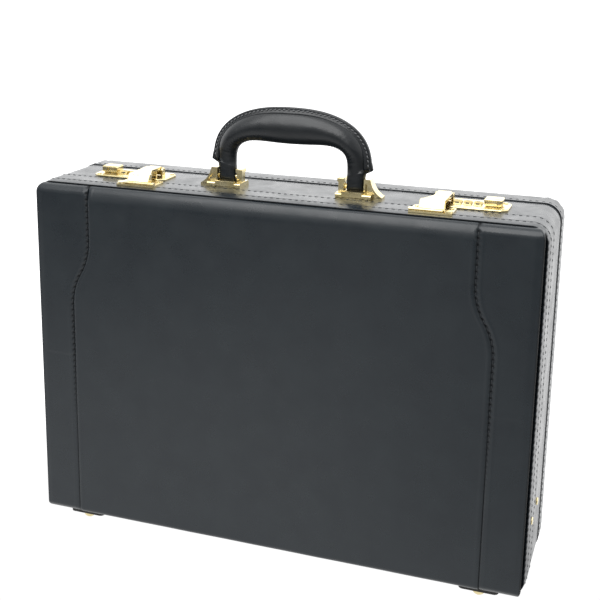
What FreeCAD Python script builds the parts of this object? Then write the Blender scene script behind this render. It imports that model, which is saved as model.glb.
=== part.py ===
import FreeCAD, Part
import math
import os
from FreeCAD import Vector

# Attache case standing on its hinge side.  Millimetres, +X to the right, front face towards -Y, +Z up.
# The origin is the middle of the footprint, on the plane under the feet.

# ---- driving dimensions -------------------------------------------------------------------------
CASE_W = 450.0          # width across the binding
CASE_H = 318.0          # height of the box without feet and handle
CASE_D = 106.0          # depth of the box without the padded faces
LID_D = 29.0            # depth of the front half, which opens
BINDING_D = 27.0        # width of the leather binding round the back edge
CORNER_R = 15.0         # outside corners, seen from the front
PANEL_R = 7.0           # corners of the padded front panel
FOOT_H = 8.5            # clear height under the box
PANEL_PROUD = 8.0       # the padded front panel stands this far out
BACK_PROUD = 4.0        # the padded back cover stands this far out
PANEL_INSET = 2.0      # the padded faces start this far in from the edge

# ---- materials and gaps -------------------------------------------------------------------------
BAND_INSET = 0.4        # the bands lie this much lower than the binding
FRAME_INSET = 1.2       # outside of the plywood frame
FRAME_T = 5.0
BOARD_T = 3.0
LINING_T = 0.8
FOAM_T = 4.0
RIM_GAP = 0.3           # between the two halves when closed
RUNNING = 0.05          # radial clearance of pins in their bores
HOLE_PLAY = 0.1         # radial play of a rivet's shank in its hole
CLEAR = 0.3             # least distance between pieces that pass each other

# ---- reference planes ---------------------------------------------------------------------------
Y_FRONT = -(CASE_D + BACK_PROUD - PANEL_PROUD) / 2
Y_BACK = Y_FRONT + CASE_D
Y_PART = Y_FRONT + LID_D
Y_LID_RIM = Y_PART - RIM_GAP / 2
Y_BODY_RIM = Y_PART + RIM_GAP / 2
Y_BINDING = Y_BACK - BINDING_D
Z_BOTTOM = FOOT_H
Z_TOP = FOOT_H + CASE_H
Z_DECK = Z_TOP - BAND_INSET         # top face of the bands, under the metal fittings
Z_SOLE = Z_BOTTOM + BAND_INSET      # bottom face of the bands, over the hinge
X_SIDE = CASE_W / 2 - BAND_INSET    # outside of the bands at the two ends
LINING_INSET = FRAME_INSET + FRAME_T
INNER_INSET = LINING_INSET + LINING_T
Z_INSIDE = Z_TOP - INNER_INSET      # inner face of the top wall's lining

# ---- front panel seams --------------------------------------------------------------------------
SEAM_X_TOP = 171.5      # the side pieces' seam, above the S curve
SEAM_X_LOW = 191.5      # and below it
SEAM_Z_MID = 237.0      # middle of the S curve above the box's bottom
SEAM_HALF = 30.0        # half the height of the S curve

# ---- rim tongue ---------------------------------------------------------------------------------
TONGUE_IN_BODY = 6.5
TONGUE_REACH = 4.0      # the tongue stands this far into the lid
TONGUE_PLAY = 0.5
TONGUE_T = 1.7

# ---- hinge --------------------------------------------------------------------------------------
HINGE_LEN = 380.0
HINGE_KNUCKLES = 11
KNUCKLE_R = 1.9
PIN_R = 0.8
LEAF_T = 0.8
LEAF_W = 13.0
Z_HINGE = Z_SOLE - 2.1
HINGE_RIVETS = 6
HINGE_RIVET_R = 0.9
BODY_LEAF_RIVET_Y = Y_PART + 8.5
LID_LEAF_RIVET_Y = Y_PART - 8.5

# ---- feet ---------------------------------------------------------------------------------------
FOOT_X = 186.0
FOOT_R = 6.0
FOOT_STUD_R = 1.5
PAD_LEN = 34.0
PAD_D = 13.0
Z_PAD = 5.5             # underside of the pads, on top of the domes
LID_FOOT_Y = Y_FRONT + 8.0
BODY_FOOT_Y = Y_BACK - 12.0

# ---- handle and its brackets --------------------------------------------------------------------
HANDLE_Y = Y_FRONT + 41.0
HANDLE_PIN_Z = Z_DECK + 9.0
HANDLE_PIN_R = 2.0
LEG_IN = 50.0           # inner and outer faces of the handle's legs
LEG_OUT = 65.4
LIP_X = 71.9            # the seam flange's ends
GRIP_TOP = Z_TOP + 72.0
GRIP_UNDER = Z_TOP + 41.0
GRIP_T = 20.0           # front to back at the hand
EYE_R = 5.0
BRACKET_IN = 43.0
BRACKET_OUT = 82.0
BRACKET_D = 21.0
BRACKET_BASE_T = 1.2
BRACKET_H = 16.5
BRACKET_CAP_T = 3.4
POST_HALF = 5.0         # half the depth of the post and the ear
EAR_OUT = LEG_OUT + 6.4
EAR_FOOT_OUT = EAR_OUT + 2.0
RAIL_R = 2.6
RAIL_Y = 9.0
RAIL_Z = Z_DECK + 3.5
BRACKET_RIVETS = [(57.5, HANDLE_Y - 3.0), (57.5, HANDLE_Y + 3.0)]
BRACKET_RIVET_R = 1.2
BRACKET_HEAD_R = 2.2
BRACKET_HEAD_T = 0.8
BACKING_T = 1.5
BACKING_OUT = 75.0
STRAP_IN = 56.0         # the handle's steel strap
STRAP_OUT = 59.4
STRAP_D = 6.0
CORE_EYE_R = 3.4

# ---- locks --------------------------------------------------------------------------------------
LOCK_Y = Y_FRONT + 46.0
PLATE_IN = 116.5
PLATE_OUT = 186.5
PLATE_Y0 = Y_FRONT + 31.0
PLATE_Y1 = Y_FRONT + 63.0
PLATE_T = 2.0
DIAL_XS = (144.0, 152.4, 160.8)
DIAL_W = 6.2
DIAL_R = 7.0
DIAL_BORE_R = 1.55
SPINDLE_R = 1.5
Z_DIAL = Z_DECK + PLATE_T - 4.5
DIAL_FACES = 10
DIAL_GROOVE_R = 0.45
BUTTON_IN = 166.3
BUTTON_OUT = 181.3
BUTTON_Y0 = LOCK_Y - 6.0
BUTTON_Y1 = LOCK_Y + 6.0
BUTTON_TRAVEL = 3.0
HOUSING_IN = 121.0
HOUSING_OUT = 184.5
HOUSING_Y0 = LOCK_Y - 9.0
HOUSING_Y1 = LOCK_Y + 9.0
HOUSING_T = 0.8
Z_HOUSING = Z_DECK - 12.6
HASP_IN = 119.8
HASP_OUT = 139.8
HASP_PIN_Y = Y_FRONT + 50.0
HASP_PIN_Z = Z_DECK + PLATE_T + 4.0
HASP_PIN_R = 1.2
HASP_KNOB_R = 3.7
KNOB_IN = HASP_IN + 7.0     # the knob and the back of the lever are narrower than the nose
Z_NOSE = Z_DECK + 2.6
Z_LEVER = Z_DECK + 7.0
Z_HASP_TOP = Z_DECK + 9.5
LUG_T = 2.0             # the two lugs that carry the hasp's pin
LUG_R = 3.0
LUG_IN = KNOB_IN - CLEAR - LUG_T
LUG_OUT = DIAL_XS[0] - DIAL_W / 2 - 2 * CLEAR - 0.3     # outer face of the outer lug, beside the first dial
TAIL_X0 = 127.0
TAIL_X1 = 133.0
TAIL_Y0 = 9.0           # the hasp's tail, measured forward from its pin
TAIL_Y1 = 10.2
TAIL_DROP = 8.6
TAIL_SWING = 3.6        # room in front of the tail for its way up
CATCH_IN = 112.3
CATCH_OUT = 147.5
CATCH_Y0 = Y_FRONT + 3.5
CATCH_Y1 = Y_FRONT + 26.5
CATCH_T = 1.8
CATCH_EAR_R = 3.7
PLATE_RIVETS = [(119.5, PLATE_Y1 - 6.0), (181.8, LOCK_Y - 10.6), (181.8, LOCK_Y + 11.6)]
PLATE_RIVET_R = 1.0
PLATE_HEAD_R = 1.9
PLATE_HEAD_T = 0.6
CATCH_RIVETS = [(115.5, CATCH_Y1 - 5.0), (144.3, CATCH_Y1 - 5.0)]
STEM_X0 = 170.0         # the button's stem, in its slot
STEM_X1 = 177.0
STEM_HALF = 2.0
SPINDLE_IN = 138.8
PARTITION_X = 164.6     # the housing wall that carries the outer end of the spindle
Z_SLIDER_TOP = Z_DECK - 3.0
Z_BAR = Z_HOUSING + HOUSING_T + CLEAR
Z_WALL = Z_HOUSING + 2.6    # foot of the inner walls, above the slider's bar
SLIDER_IN = 167.2
SLIDER_OUT = 179.4
SLIDER_T = 0.7

# ---- stays --------------------------------------------------------------------------------------
STAY_BODY_Y = Y_FRONT + 46.0
STAY_BODY_Z = Z_BOTTOM + 66.0
STAY_LID_Y = Y_FRONT + 14.0
STAY_LID_Z = Z_BOTTOM + 64.0
STAY_BODY_LINK = 68.0
STAY_LID_LINK = 70.0
LINK_W = 9.0
LINK_T = 1.2
X_BODY_LINK = CASE_W / 2 - INNER_INSET - TONGUE_T - 0.7     # outer face of the body's link
X_LID_LINK = X_BODY_LINK - LINK_T - CLEAR                   # outer face of the lid's link
STAY_RIVET_R = 1.5
ELBOW_PLAY = 0.4


# ---- helpers ------------------------------------------------------------------------------------
def box(x0, x1, y0, y1, z0, z1):
    return Part.makeBox(x1 - x0, y1 - y0, z1 - z0, Vector(x0, y0, z0))


def cyl_x(x0, x1, y, z, r):
    return Part.makeCylinder(r, x1 - x0, Vector(x0, y, z), Vector(1, 0, 0))


def cyl_z(z0, z1, x, y, r):
    return Part.makeCylinder(r, z1 - z0, Vector(x, y, z0), Vector(0, 0, 1))


def prism_xy(points, z0, z1):
    corners = [Vector(x, y, z0) for x, y in points]
    face = Part.Face(Part.makePolygon(corners + corners[:1]))
    return face.extrude(Vector(0, 0, z1 - z0))


def prism_xz(points, y0, y1):
    corners = [Vector(x, y0, z) for x, z in points]
    face = Part.Face(Part.makePolygon(corners + corners[:1]))
    return face.extrude(Vector(0, y1 - y0, 0))


def prism_yz(points, x0, x1):
    corners = [Vector(x0, y, z) for y, z in points]
    face = Part.Face(Part.makePolygon(corners + corners[:1]))
    return face.extrude(Vector(x1 - x0, 0, 0))


def slab(inset, y0, y1, corner=None):
    """The case's outline drawn in by inset, from y0 to y1."""
    radius = CORNER_R - inset if corner is None else corner
    half = CASE_W / 2 - inset
    block = box(-half, half, y0, y1, Z_BOTTOM + inset, Z_TOP - inset)
    upright = [e for e in block.Edges if abs(e.tangentAt(e.FirstParameter).y) > 0.9]
    return block.makeFillet(radius, upright)


def ring(inset_out, inset_in, y0, y1):
    return slab(inset_out, y0, y1).cut(slab(inset_in, y0 - 1, y1 + 1))


def join(shapes):
    first = shapes[0]
    for other in shapes[1:]:
        first = first.fuse(other)
    return first.removeSplitter()


def cut_all(shape, tools):
    for tool in tools:
        shape = shape.cut(tool)
    return shape


def mirrored(shape):
    return shape.mirror(Vector(0, 0, 0), Vector(1, 0, 0))


def both(shape):
    """The right-hand shape and its left-hand twin."""
    return [shape, mirrored(shape)]


def soften(shape, radius, chosen):
    edges = [e for e in shape.Edges if chosen(e)]
    return shape.makeFillet(radius, edges)


def export(node, *shapes):
    solids = [solid for shape in shapes for solid in shape.Solids]
    for solid in solids:
        if not solid.isValid() or solid.Volume <= 0:
            raise RuntimeError("bad solid in " + node)
    whole = solids[0] if len(solids) == 1 else Part.makeCompound(solids)
    whole.exportStep("parts/" + node + ".step")


# ---- holes shared by several pieces -------------------------------------------------------------
def rivet_z(x, y, z_head, z_end, r, head_r, head_t):
    """A rivet with its domed head above z_head and its shank down to z_end."""
    head = cyl_z(z_head, z_head + head_t, x, y, head_r)
    head = soften(head, head_t * 0.7, lambda e: e.BoundBox.ZMin > z_head + head_t - 0.01 and e.Closed)
    return join([head, cyl_z(z_end, z_head, x, y, r)])


def drill_z(points, r, z0, z1):
    return [hole for x, y in points for hole in both(cyl_z(z0, z1, x, y, r))]


def top_holes():
    """Holes through the body's top wall for the bracket and lock rivets and the lock housings."""
    low = Z_INSIDE - 4
    high = Z_TOP + 1
    holes = drill_z(BRACKET_RIVETS, BRACKET_RIVET_R + HOLE_PLAY, low, high)
    holes += drill_z(PLATE_RIVETS, PLATE_RIVET_R + HOLE_PLAY, low, high)
    gap = CLEAR / 2
    pocket = box(HOUSING_IN - gap, HOUSING_OUT + gap, HOUSING_Y0 - gap, HOUSING_Y1 + gap, low, high)
    return holes + both(pocket)


def side_hole(y, z):
    """Holes through both end walls for a stay's rivet."""
    return both(cyl_x(X_SIDE - 12, X_SIDE + 2, y, z, STAY_RIVET_R + HOLE_PLAY))


def foot_hole(y):
    return both(cyl_z(Z_BOTTOM - 1, Z_BOTTOM + LINING_INSET - 0.5, FOOT_X, y, FOOT_STUD_R + HOLE_PLAY))


def hinge_rivet_points(y):
    step = HINGE_LEN / HINGE_RIVETS
    return [(-HINGE_LEN / 2 + step * (i + 0.5), y) for i in range(HINGE_RIVETS)]


def hinge_holes(y):
    return [cyl_z(Z_BOTTOM - 3, Z_BOTTOM + LINING_INSET - 0.5, x, py, HINGE_RIVET_R + HOLE_PLAY)
            for x, py in hinge_rivet_points(y)]


# ---- body (the rear half) -----------------------------------------------------------------------
def body_shell():
    holes = top_holes() + side_hole(STAY_BODY_Y, STAY_BODY_Z)
    bottom = foot_hole(BODY_FOOT_Y) + hinge_holes(BODY_LEAF_RIVET_Y)
    frame = ring(FRAME_INSET, LINING_INSET, Y_BODY_RIM, Y_BACK - BOARD_T)
    export("body_frame", cut_all(frame, holes + bottom))
    export("back_board", slab(FRAME_INSET, Y_BACK - BOARD_T, Y_BACK))
    band = ring(BAND_INSET, FRAME_INSET, Y_BODY_RIM, Y_BINDING)
    export("body_band", cut_all(band, holes + bottom))
    binding = ring(0.0, FRAME_INSET, Y_BINDING, Y_BACK)
    export("back_binding", cut_all(binding, bottom))
    cover = slab(PANEL_INSET, Y_BACK, Y_BACK + BACK_PROUD)
    cover = soften(cover, BACK_PROUD * 0.8, lambda e: e.BoundBox.YMin > Y_BACK + BACK_PROUD - 0.01)
    export("back_cover", cover)
    lining = slab(LINING_INSET, Y_BODY_RIM, Y_BACK - BOARD_T)
    lining = lining.cut(slab(INNER_INSET, Y_BODY_RIM - 1, Y_BACK - BOARD_T - LINING_T))
    export("body_lining", cut_all(lining, top_holes() + side_hole(STAY_BODY_Y, STAY_BODY_Z)))
    inner = INNER_INSET + TONGUE_T
    root = ring(INNER_INSET, inner, Y_BODY_RIM, Y_BODY_RIM + TONGUE_IN_BODY)
    tip = ring(INNER_INSET + TONGUE_PLAY, inner, Y_PART - TONGUE_REACH, Y_BODY_RIM)
    export("rim_tongue", join([root, tip]))


# ---- lid (the front half) -----------------------------------------------------------------------
def seam_region():
    """Everything to the right of the right-hand seam: straight, an S of two tangent arcs, straight."""
    step = SEAM_X_LOW - SEAM_X_TOP
    mid = Z_BOTTOM + SEAM_Z_MID
    high, low = mid + SEAM_HALF, mid - SEAM_HALF
    radius = (step * step / 4 + SEAM_HALF * SEAM_HALF) / step
    half_angle = math.asin(SEAM_HALF / radius) / 2
    bulge_x = radius * (1 - math.cos(half_angle))
    bulge_z = radius * math.sin(half_angle)
    x_mid = (SEAM_X_TOP + SEAM_X_LOW) / 2
    y = Y_FRONT - PANEL_PROUD - 1
    far = CASE_W
    z_hi, z_lo = Z_TOP + 10, Z_BOTTOM - 10
    p_top = Vector(SEAM_X_TOP, y, high)
    p_mid = Vector(x_mid, y, mid)
    p_low = Vector(SEAM_X_LOW, y, low)
    upper = Part.Arc(p_top, Vector(SEAM_X_TOP + bulge_x, y, high - bulge_z), p_mid).toShape()
    lower = Part.Arc(p_mid, Vector(SEAM_X_LOW - bulge_x, y, low + bulge_z), p_low).toShape()
    corners = [p_low, Vector(SEAM_X_LOW, y, z_lo), Vector(far, y, z_lo), Vector(far, y, z_hi),
               Vector(SEAM_X_TOP, y, z_hi), p_top]
    lines = [Part.makeLine(a, b) for a, b in zip(corners, corners[1:])]
    wire = Part.Wire(Part.__sortEdges__([upper, lower] + lines))
    return Part.Face(wire).extrude(Vector(0, PANEL_PROUD + 2, 0))


def lid_shell():
    side = side_hole(STAY_LID_Y, STAY_LID_Z)
    bottom = foot_hole(LID_FOOT_Y) + hinge_holes(LID_LEAF_RIVET_Y)
    catch = drill_z(CATCH_RIVETS, PLATE_RIVET_R + HOLE_PLAY, Z_INSIDE - 4, Z_TOP + 1)
    frame = ring(FRAME_INSET, LINING_INSET, Y_FRONT + BOARD_T, Y_LID_RIM)
    export("lid_frame", cut_all(frame, side + bottom + catch))
    export("lid_board", slab(FRAME_INSET, Y_FRONT, Y_FRONT + BOARD_T))
    band = ring(BAND_INSET, FRAME_INSET, Y_FRONT, Y_LID_RIM)
    export("lid_band", cut_all(band, side + bottom + catch))
    lining = slab(LINING_INSET, Y_FRONT + BOARD_T, Y_LID_RIM)
    lining = lining.cut(slab(INNER_INSET, Y_FRONT + BOARD_T + LINING_T, Y_LID_RIM + 1))
    export("lid_lining", cut_all(lining, side + catch))


def lid_panel():
    """The padded front: foam under a middle leather and two side leathers with S-shaped seams."""
    front = Y_FRONT - PANEL_PROUD
    foam = slab(PANEL_INSET + 2.0, Y_FRONT - FOAM_T, Y_FRONT, PANEL_R - 2.0)
    export("panel_foam", foam)
    skin = slab(PANEL_INSET, front, Y_FRONT, PANEL_R)
    skin = soften(skin, 5.0, lambda e: e.BoundBox.YMax < front + 0.01)
    skin = skin.cut(foam)
    right = seam_region()
    left = mirrored(right)
    export("panel_leather_right", skin.common(right))
    export("panel_leather_left", skin.common(left))
    export("panel_leather_middle", skin.cut(right).cut(left))


def file_pocket():
    """A flat leather pocket on the inside of the lid, open at the top."""
    back = Y_FRONT + BOARD_T + LINING_T
    low, high = Z_BOTTOM + 30.0, Z_BOTTOM + 215.0
    half, depth, skin, hem = 198.0, 4.2, 1.2, 2.0
    pocket = box(-half, half, back, back + depth, low, high)
    slot = box(-half + hem, half - hem, back, back + depth - skin, low + hem, high + 1)
    export("file_pocket", pocket.cut(slot))


# ---- hinge --------------------------------------------------------------------------------------
def knuckle_spans(own_first):
    pitch = HINGE_LEN / HINGE_KNUCKLES
    start = 0 if own_first else 1
    return [(-HINGE_LEN / 2 + pitch * i + CLEAR / 2, -HINGE_LEN / 2 + pitch * (i + 1) - CLEAR / 2)
            for i in range(start, HINGE_KNUCKLES, 2)]


def hinge_leaf(towards, own_first, bore_r, rivet_y):
    """A leaf under the case: towards is +1 for the body's side and -1 for the lid's."""
    near = KNUCKLE_R + 0.4
    ys = sorted((Y_PART + towards * near, Y_PART + towards * LEAF_W))
    leaf = box(-HINGE_LEN / 2, HINGE_LEN / 2, ys[0], ys[1], Z_SOLE - LEAF_T, Z_SOLE)
    shapes = [leaf]
    tab = sorted((Y_PART + towards * 0.25, Y_PART + towards * (near + 0.5)))
    for x0, x1 in knuckle_spans(own_first):
        shapes.append(cyl_x(x0, x1, Y_PART, Z_HINGE, KNUCKLE_R))
        shapes.append(box(x0, x1, tab[0], tab[1], Z_SOLE - LEAF_T, Z_SOLE))
    leaf = join(shapes).cut(cyl_x(-HINGE_LEN, HINGE_LEN, Y_PART, Z_HINGE, bore_r))
    return cut_all(leaf, hinge_holes(rivet_y))


def hinge_rivets(y):
    rivets = []
    for x, py in hinge_rivet_points(y):
        head = cyl_z(Z_SOLE - LEAF_T - 0.7, Z_SOLE - LEAF_T, x, py, 1.9)
        shank = cyl_z(Z_SOLE - LEAF_T, Z_BOTTOM + LINING_INSET - 0.5, x, py, HINGE_RIVET_R)
        rivets.append(join([head, shank]))
    return rivets


def hinge():
    export("body_hinge_leaf", hinge_leaf(1, True, PIN_R, BODY_LEAF_RIVET_Y))
    export("lid_hinge_leaf", hinge_leaf(-1, False, PIN_R + RUNNING, LID_LEAF_RIVET_Y))
    export("hinge_pin", cyl_x(-HINGE_LEN / 2, HINGE_LEN / 2, Y_PART, Z_HINGE, PIN_R))
    export("body_hinge_rivets", *hinge_rivets(BODY_LEAF_RIVET_Y))
    export("lid_hinge_rivets", *hinge_rivets(LID_LEAF_RIVET_Y))


# ---- feet ---------------------------------------------------------------------------------------
def foot(y):
    """A domed brass foot with a small flat to stand on and a stud in the frame."""
    flat = 0.25
    height = Z_PAD + flat
    radius = (FOOT_R * FOOT_R + height * height) / (2 * height)
    dome = Part.makeSphere(radius, Vector(FOOT_X, y, radius - flat))
    dome = dome.common(box(FOOT_X - 9, FOOT_X + 9, y - 9, y + 9, 0.0, Z_PAD))
    return join([dome, cyl_z(Z_PAD - 0.5, Z_BOTTOM + LINING_INSET - 0.6, FOOT_X, y, FOOT_STUD_R)])


def foot_pad(y, z_top):
    """The long rubber pad between a foot and the case."""
    pad = box(FOOT_X - PAD_LEN / 2, FOOT_X + PAD_LEN / 2, y - PAD_D / 2, y + PAD_D / 2, Z_PAD, z_top)
    pad = soften(pad, 4.0, lambda e: abs(e.tangentAt(e.FirstParameter).z) > 0.9)
    return pad.cut(cyl_z(Z_PAD - 1, z_top + 1, FOOT_X, y, FOOT_STUD_R + HOLE_PLAY))


def feet():
    export("lid_feet", *both(foot(LID_FOOT_Y)))
    export("lid_foot_pads", *both(foot_pad(LID_FOOT_Y, Z_SOLE)))
    export("body_feet", *both(foot(BODY_FOOT_Y)))
    export("body_foot_pads", *both(foot_pad(BODY_FOOT_Y, Z_BOTTOM)))


# ---- handle -------------------------------------------------------------------------------------
def ear_curve(steps=6):
    """The hollow slope of the ear's outer edge, from its top down to the base."""
    x0, z0 = EAR_OUT, Z_DECK + BRACKET_H
    x1, z1 = EAR_OUT + 2.2, Z_DECK + 6.0
    x2, z2 = BRACKET_OUT, Z_DECK + 2.0
    points = []
    for i in range(steps + 1):
        t = i / steps
        a, b, c = (1 - t) ** 2, 2 * t * (1 - t), t * t
        points.append((a * x0 + b * x1 + c * x2, a * z0 + b * z1 + c * z2))
    return points


def bracket():
    """A bracket on the right: base, inner post, outer ear with a sloping gusset and two cross rails."""
    y0, y1 = HANDLE_Y - BRACKET_D / 2, HANDLE_Y + BRACKET_D / 2
    front, back = HANDLE_Y - POST_HALF, HANDLE_Y + POST_HALF
    base_top = Z_DECK + BRACKET_BASE_T
    top = Z_DECK + BRACKET_H
    cap_z = top - BRACKET_CAP_T
    post_out, ear_in = LEG_IN - 1.6, LEG_OUT + 0.8
    base = box(BRACKET_IN, EAR_FOOT_OUT, y0 + 1.5, y1 - 1.5, Z_DECK, base_top)
    base = soften(base, 2.0, lambda e: abs(e.tangentAt(e.FirstParameter).z) > 0.9)
    post = box(BRACKET_IN + 0.6, post_out, front + 1.4, back - 1.4, Z_DECK, cap_z)
    cap = box(BRACKET_IN, post_out + 0.6, front, back, cap_z, top)
    cap = soften(cap, 0.9, lambda e: e.BoundBox.ZMin > top - 0.01)
    post_foot = box(BRACKET_IN, post_out + 0.6, y0, y1, Z_DECK, RAIL_Z + 1.0)
    ear_foot = box(ear_in, EAR_FOOT_OUT, y0, y1, Z_DECK, RAIL_Z + 1.0)
    feet_blocks = [soften(block, 1.6, lambda e: abs(e.tangentAt(e.FirstParameter).x) > 0.9
                          and e.BoundBox.ZMin > RAIL_Z) for block in (post_foot, ear_foot)]
    slope = ear_curve()
    ear = prism_xz([(ear_in, Z_DECK), (BRACKET_OUT, Z_DECK)] + slope[::-1] + [(ear_in, top)], front, back)
    low = RAIL_Z + 1.2
    edge = [(x - 2.1, z) for x, z in slope if low < z < top - BRACKET_CAP_T]
    recess = prism_xz([(ear_in + 1.4, low), (BRACKET_OUT - 6.0, low)] + edge[::-1] + [(ear_in + 1.4, cap_z)],
                      front - 1, front + 2.6)
    rails = [cyl_x(post_out, ear_in, HANDLE_Y + side * RAIL_Y, RAIL_Z, RAIL_R) for side in (-1, 1)]
    room = box(0, CASE_W, y0, y1, Z_DECK + 0.9, top)
    whole = join([base, post, cap, ear] + feet_blocks + [rail.common(room) for rail in rails]).cut(recess)
    whole = whole.cut(cyl_x(BRACKET_IN + 1.5, EAR_OUT - 1.0, HANDLE_Y, HANDLE_PIN_Z, HANDLE_PIN_R))
    holes = [cyl_z(Z_DECK - 1, base_top + 1, x, y, BRACKET_RIVET_R + HOLE_PLAY) for x, y in BRACKET_RIVETS]
    return cut_all(whole, holes)


def backing_plate():
    """The steel plate inside the case that the bracket's rivets clinch on."""
    plate = box(BRACKET_IN + 1, BACKING_OUT, HANDLE_Y - 4.0, HANDLE_Y + 8.0, Z_INSIDE - BACKING_T, Z_INSIDE)
    holes = [cyl_z(Z_INSIDE - 3, Z_INSIDE + 1, x, y, BRACKET_RIVET_R + HOLE_PLAY) for x, y in BRACKET_RIVETS]
    return cut_all(plate, holes)


def bracket_rivets():
    z_head = Z_DECK + BRACKET_BASE_T
    z_tail = Z_INSIDE - BACKING_T
    rivets = []
    for x, y in BRACKET_RIVETS:
        rivet = rivet_z(x, y, z_head, z_tail, BRACKET_RIVET_R, BRACKET_HEAD_R, BRACKET_HEAD_T)
        rivets.append(join([rivet, cyl_z(z_tail - BRACKET_HEAD_T, z_tail, x, y, BRACKET_HEAD_R)]))
    return rivets


def flip(p):
    """The same point on the left."""
    return Vector(-p.x, p.y, p.z)


def arch(in_x, out_x, under, over, corner_in, corner_out, z_foot, depth, sag, crown):
    """An arch in the XZ plane: two legs joined over the top by rounded shoulders."""
    y = HANDLE_Y - depth / 2
    out_z, in_z = over - corner_out, under - corner_in
    k = math.sqrt(0.5)
    pts_out = [Vector(out_x, y, z_foot), Vector(out_x, y, out_z),
               Vector(out_x - corner_out * (1 - k), y, out_z + corner_out * k),
               Vector(out_x - corner_out, y, over)]
    pts_in = [Vector(in_x, y, z_foot), Vector(in_x, y, in_z),
              Vector(in_x - corner_in * (1 - k), y, in_z + corner_in * k),
              Vector(in_x - corner_in, y, under)]

    edges = [Part.makeLine(pts_out[0], pts_out[1]), Part.Arc(pts_out[1], pts_out[2], pts_out[3]).toShape(),
             Part.Arc(pts_out[3], Vector(0, y, over + crown), flip(pts_out[3])).toShape(),
             Part.Arc(flip(pts_out[3]), flip(pts_out[2]), flip(pts_out[1])).toShape(),
             Part.makeLine(flip(pts_out[1]), flip(pts_out[0])),
             Part.makeLine(flip(pts_out[0]), flip(pts_in[0])),
             Part.makeLine(flip(pts_in[0]), flip(pts_in[1])),
             Part.Arc(flip(pts_in[1]), flip(pts_in[2]), flip(pts_in[3])).toShape(),
             Part.Arc(flip(pts_in[3]), Vector(0, y, under - sag), pts_in[3]).toShape(),
             Part.Arc(pts_in[3], pts_in[2], pts_in[1]).toShape(),
             Part.makeLine(pts_in[1], pts_in[0]), Part.makeLine(pts_in[0], pts_out[0])]
    wire = Part.Wire(edges)
    return Part.Face(wire).extrude(Vector(0, depth, 0))


def handle():
    """A steel strap with an eye at each end, inside a padded leather grip."""
    strap = arch(STRAP_IN, STRAP_OUT, GRIP_UNDER + 11.0, GRIP_TOP - 14.5, 16.0, 19.5, HANDLE_PIN_Z, STRAP_D,
                 0.6, 0.6)
    eye = cyl_x(LEG_IN + 1.5, LEG_OUT - 1.4, HANDLE_Y, HANDLE_PIN_Z, CORE_EYE_R)
    core = join([strap] + both(eye))
    bore = both(cyl_x(LEG_IN - 5, LEG_OUT + 5, HANDLE_Y, HANDLE_PIN_Z, HANDLE_PIN_R + RUNNING))
    export("handle_core", cut_all(core, bore))
    crown = 2.9
    legs = arch(LEG_IN, LEG_OUT, GRIP_UNDER, GRIP_TOP - crown, 15.0, 38.0, HANDLE_PIN_Z, 2 * EYE_R, 1.0, 2.5)
    layers = []
    for inset, depth in ((0.0, 0.45 * GRIP_T), (1.5, 0.8 * GRIP_T), (4.5, GRIP_T)):
        layers.append(arch(LEG_IN + inset, LIP_X - inset, GRIP_UNDER + inset, GRIP_TOP - crown - inset,
                           15.0 + inset, 44.0 - inset, Z_TOP + 25.0, depth, 1.0, crown))
    ends = both(cyl_x(LEG_IN, LEG_OUT, HANDLE_Y, HANDLE_PIN_Z, EYE_R))
    grip = join([legs] + layers + ends).cut(core)
    grip = cut_all(grip, both(cyl_x(LEG_IN - 5, LEG_OUT + 5, HANDLE_Y, HANDLE_PIN_Z, HANDLE_PIN_R + 0.3)))
    export("handle_grip", grip)
    pin = cyl_x(BRACKET_IN + 1.5, EAR_OUT - 1.0, HANDLE_Y, HANDLE_PIN_Z, HANDLE_PIN_R)
    export("handle_pins", *both(pin))
    right = bracket()
    export("handle_bracket_right", right)
    export("handle_bracket_left", mirrored(right))
    export("handle_backing_plates", *both(backing_plate()))
    export("handle_rivets", *[r for rivet in bracket_rivets() for r in both(rivet)])


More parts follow.
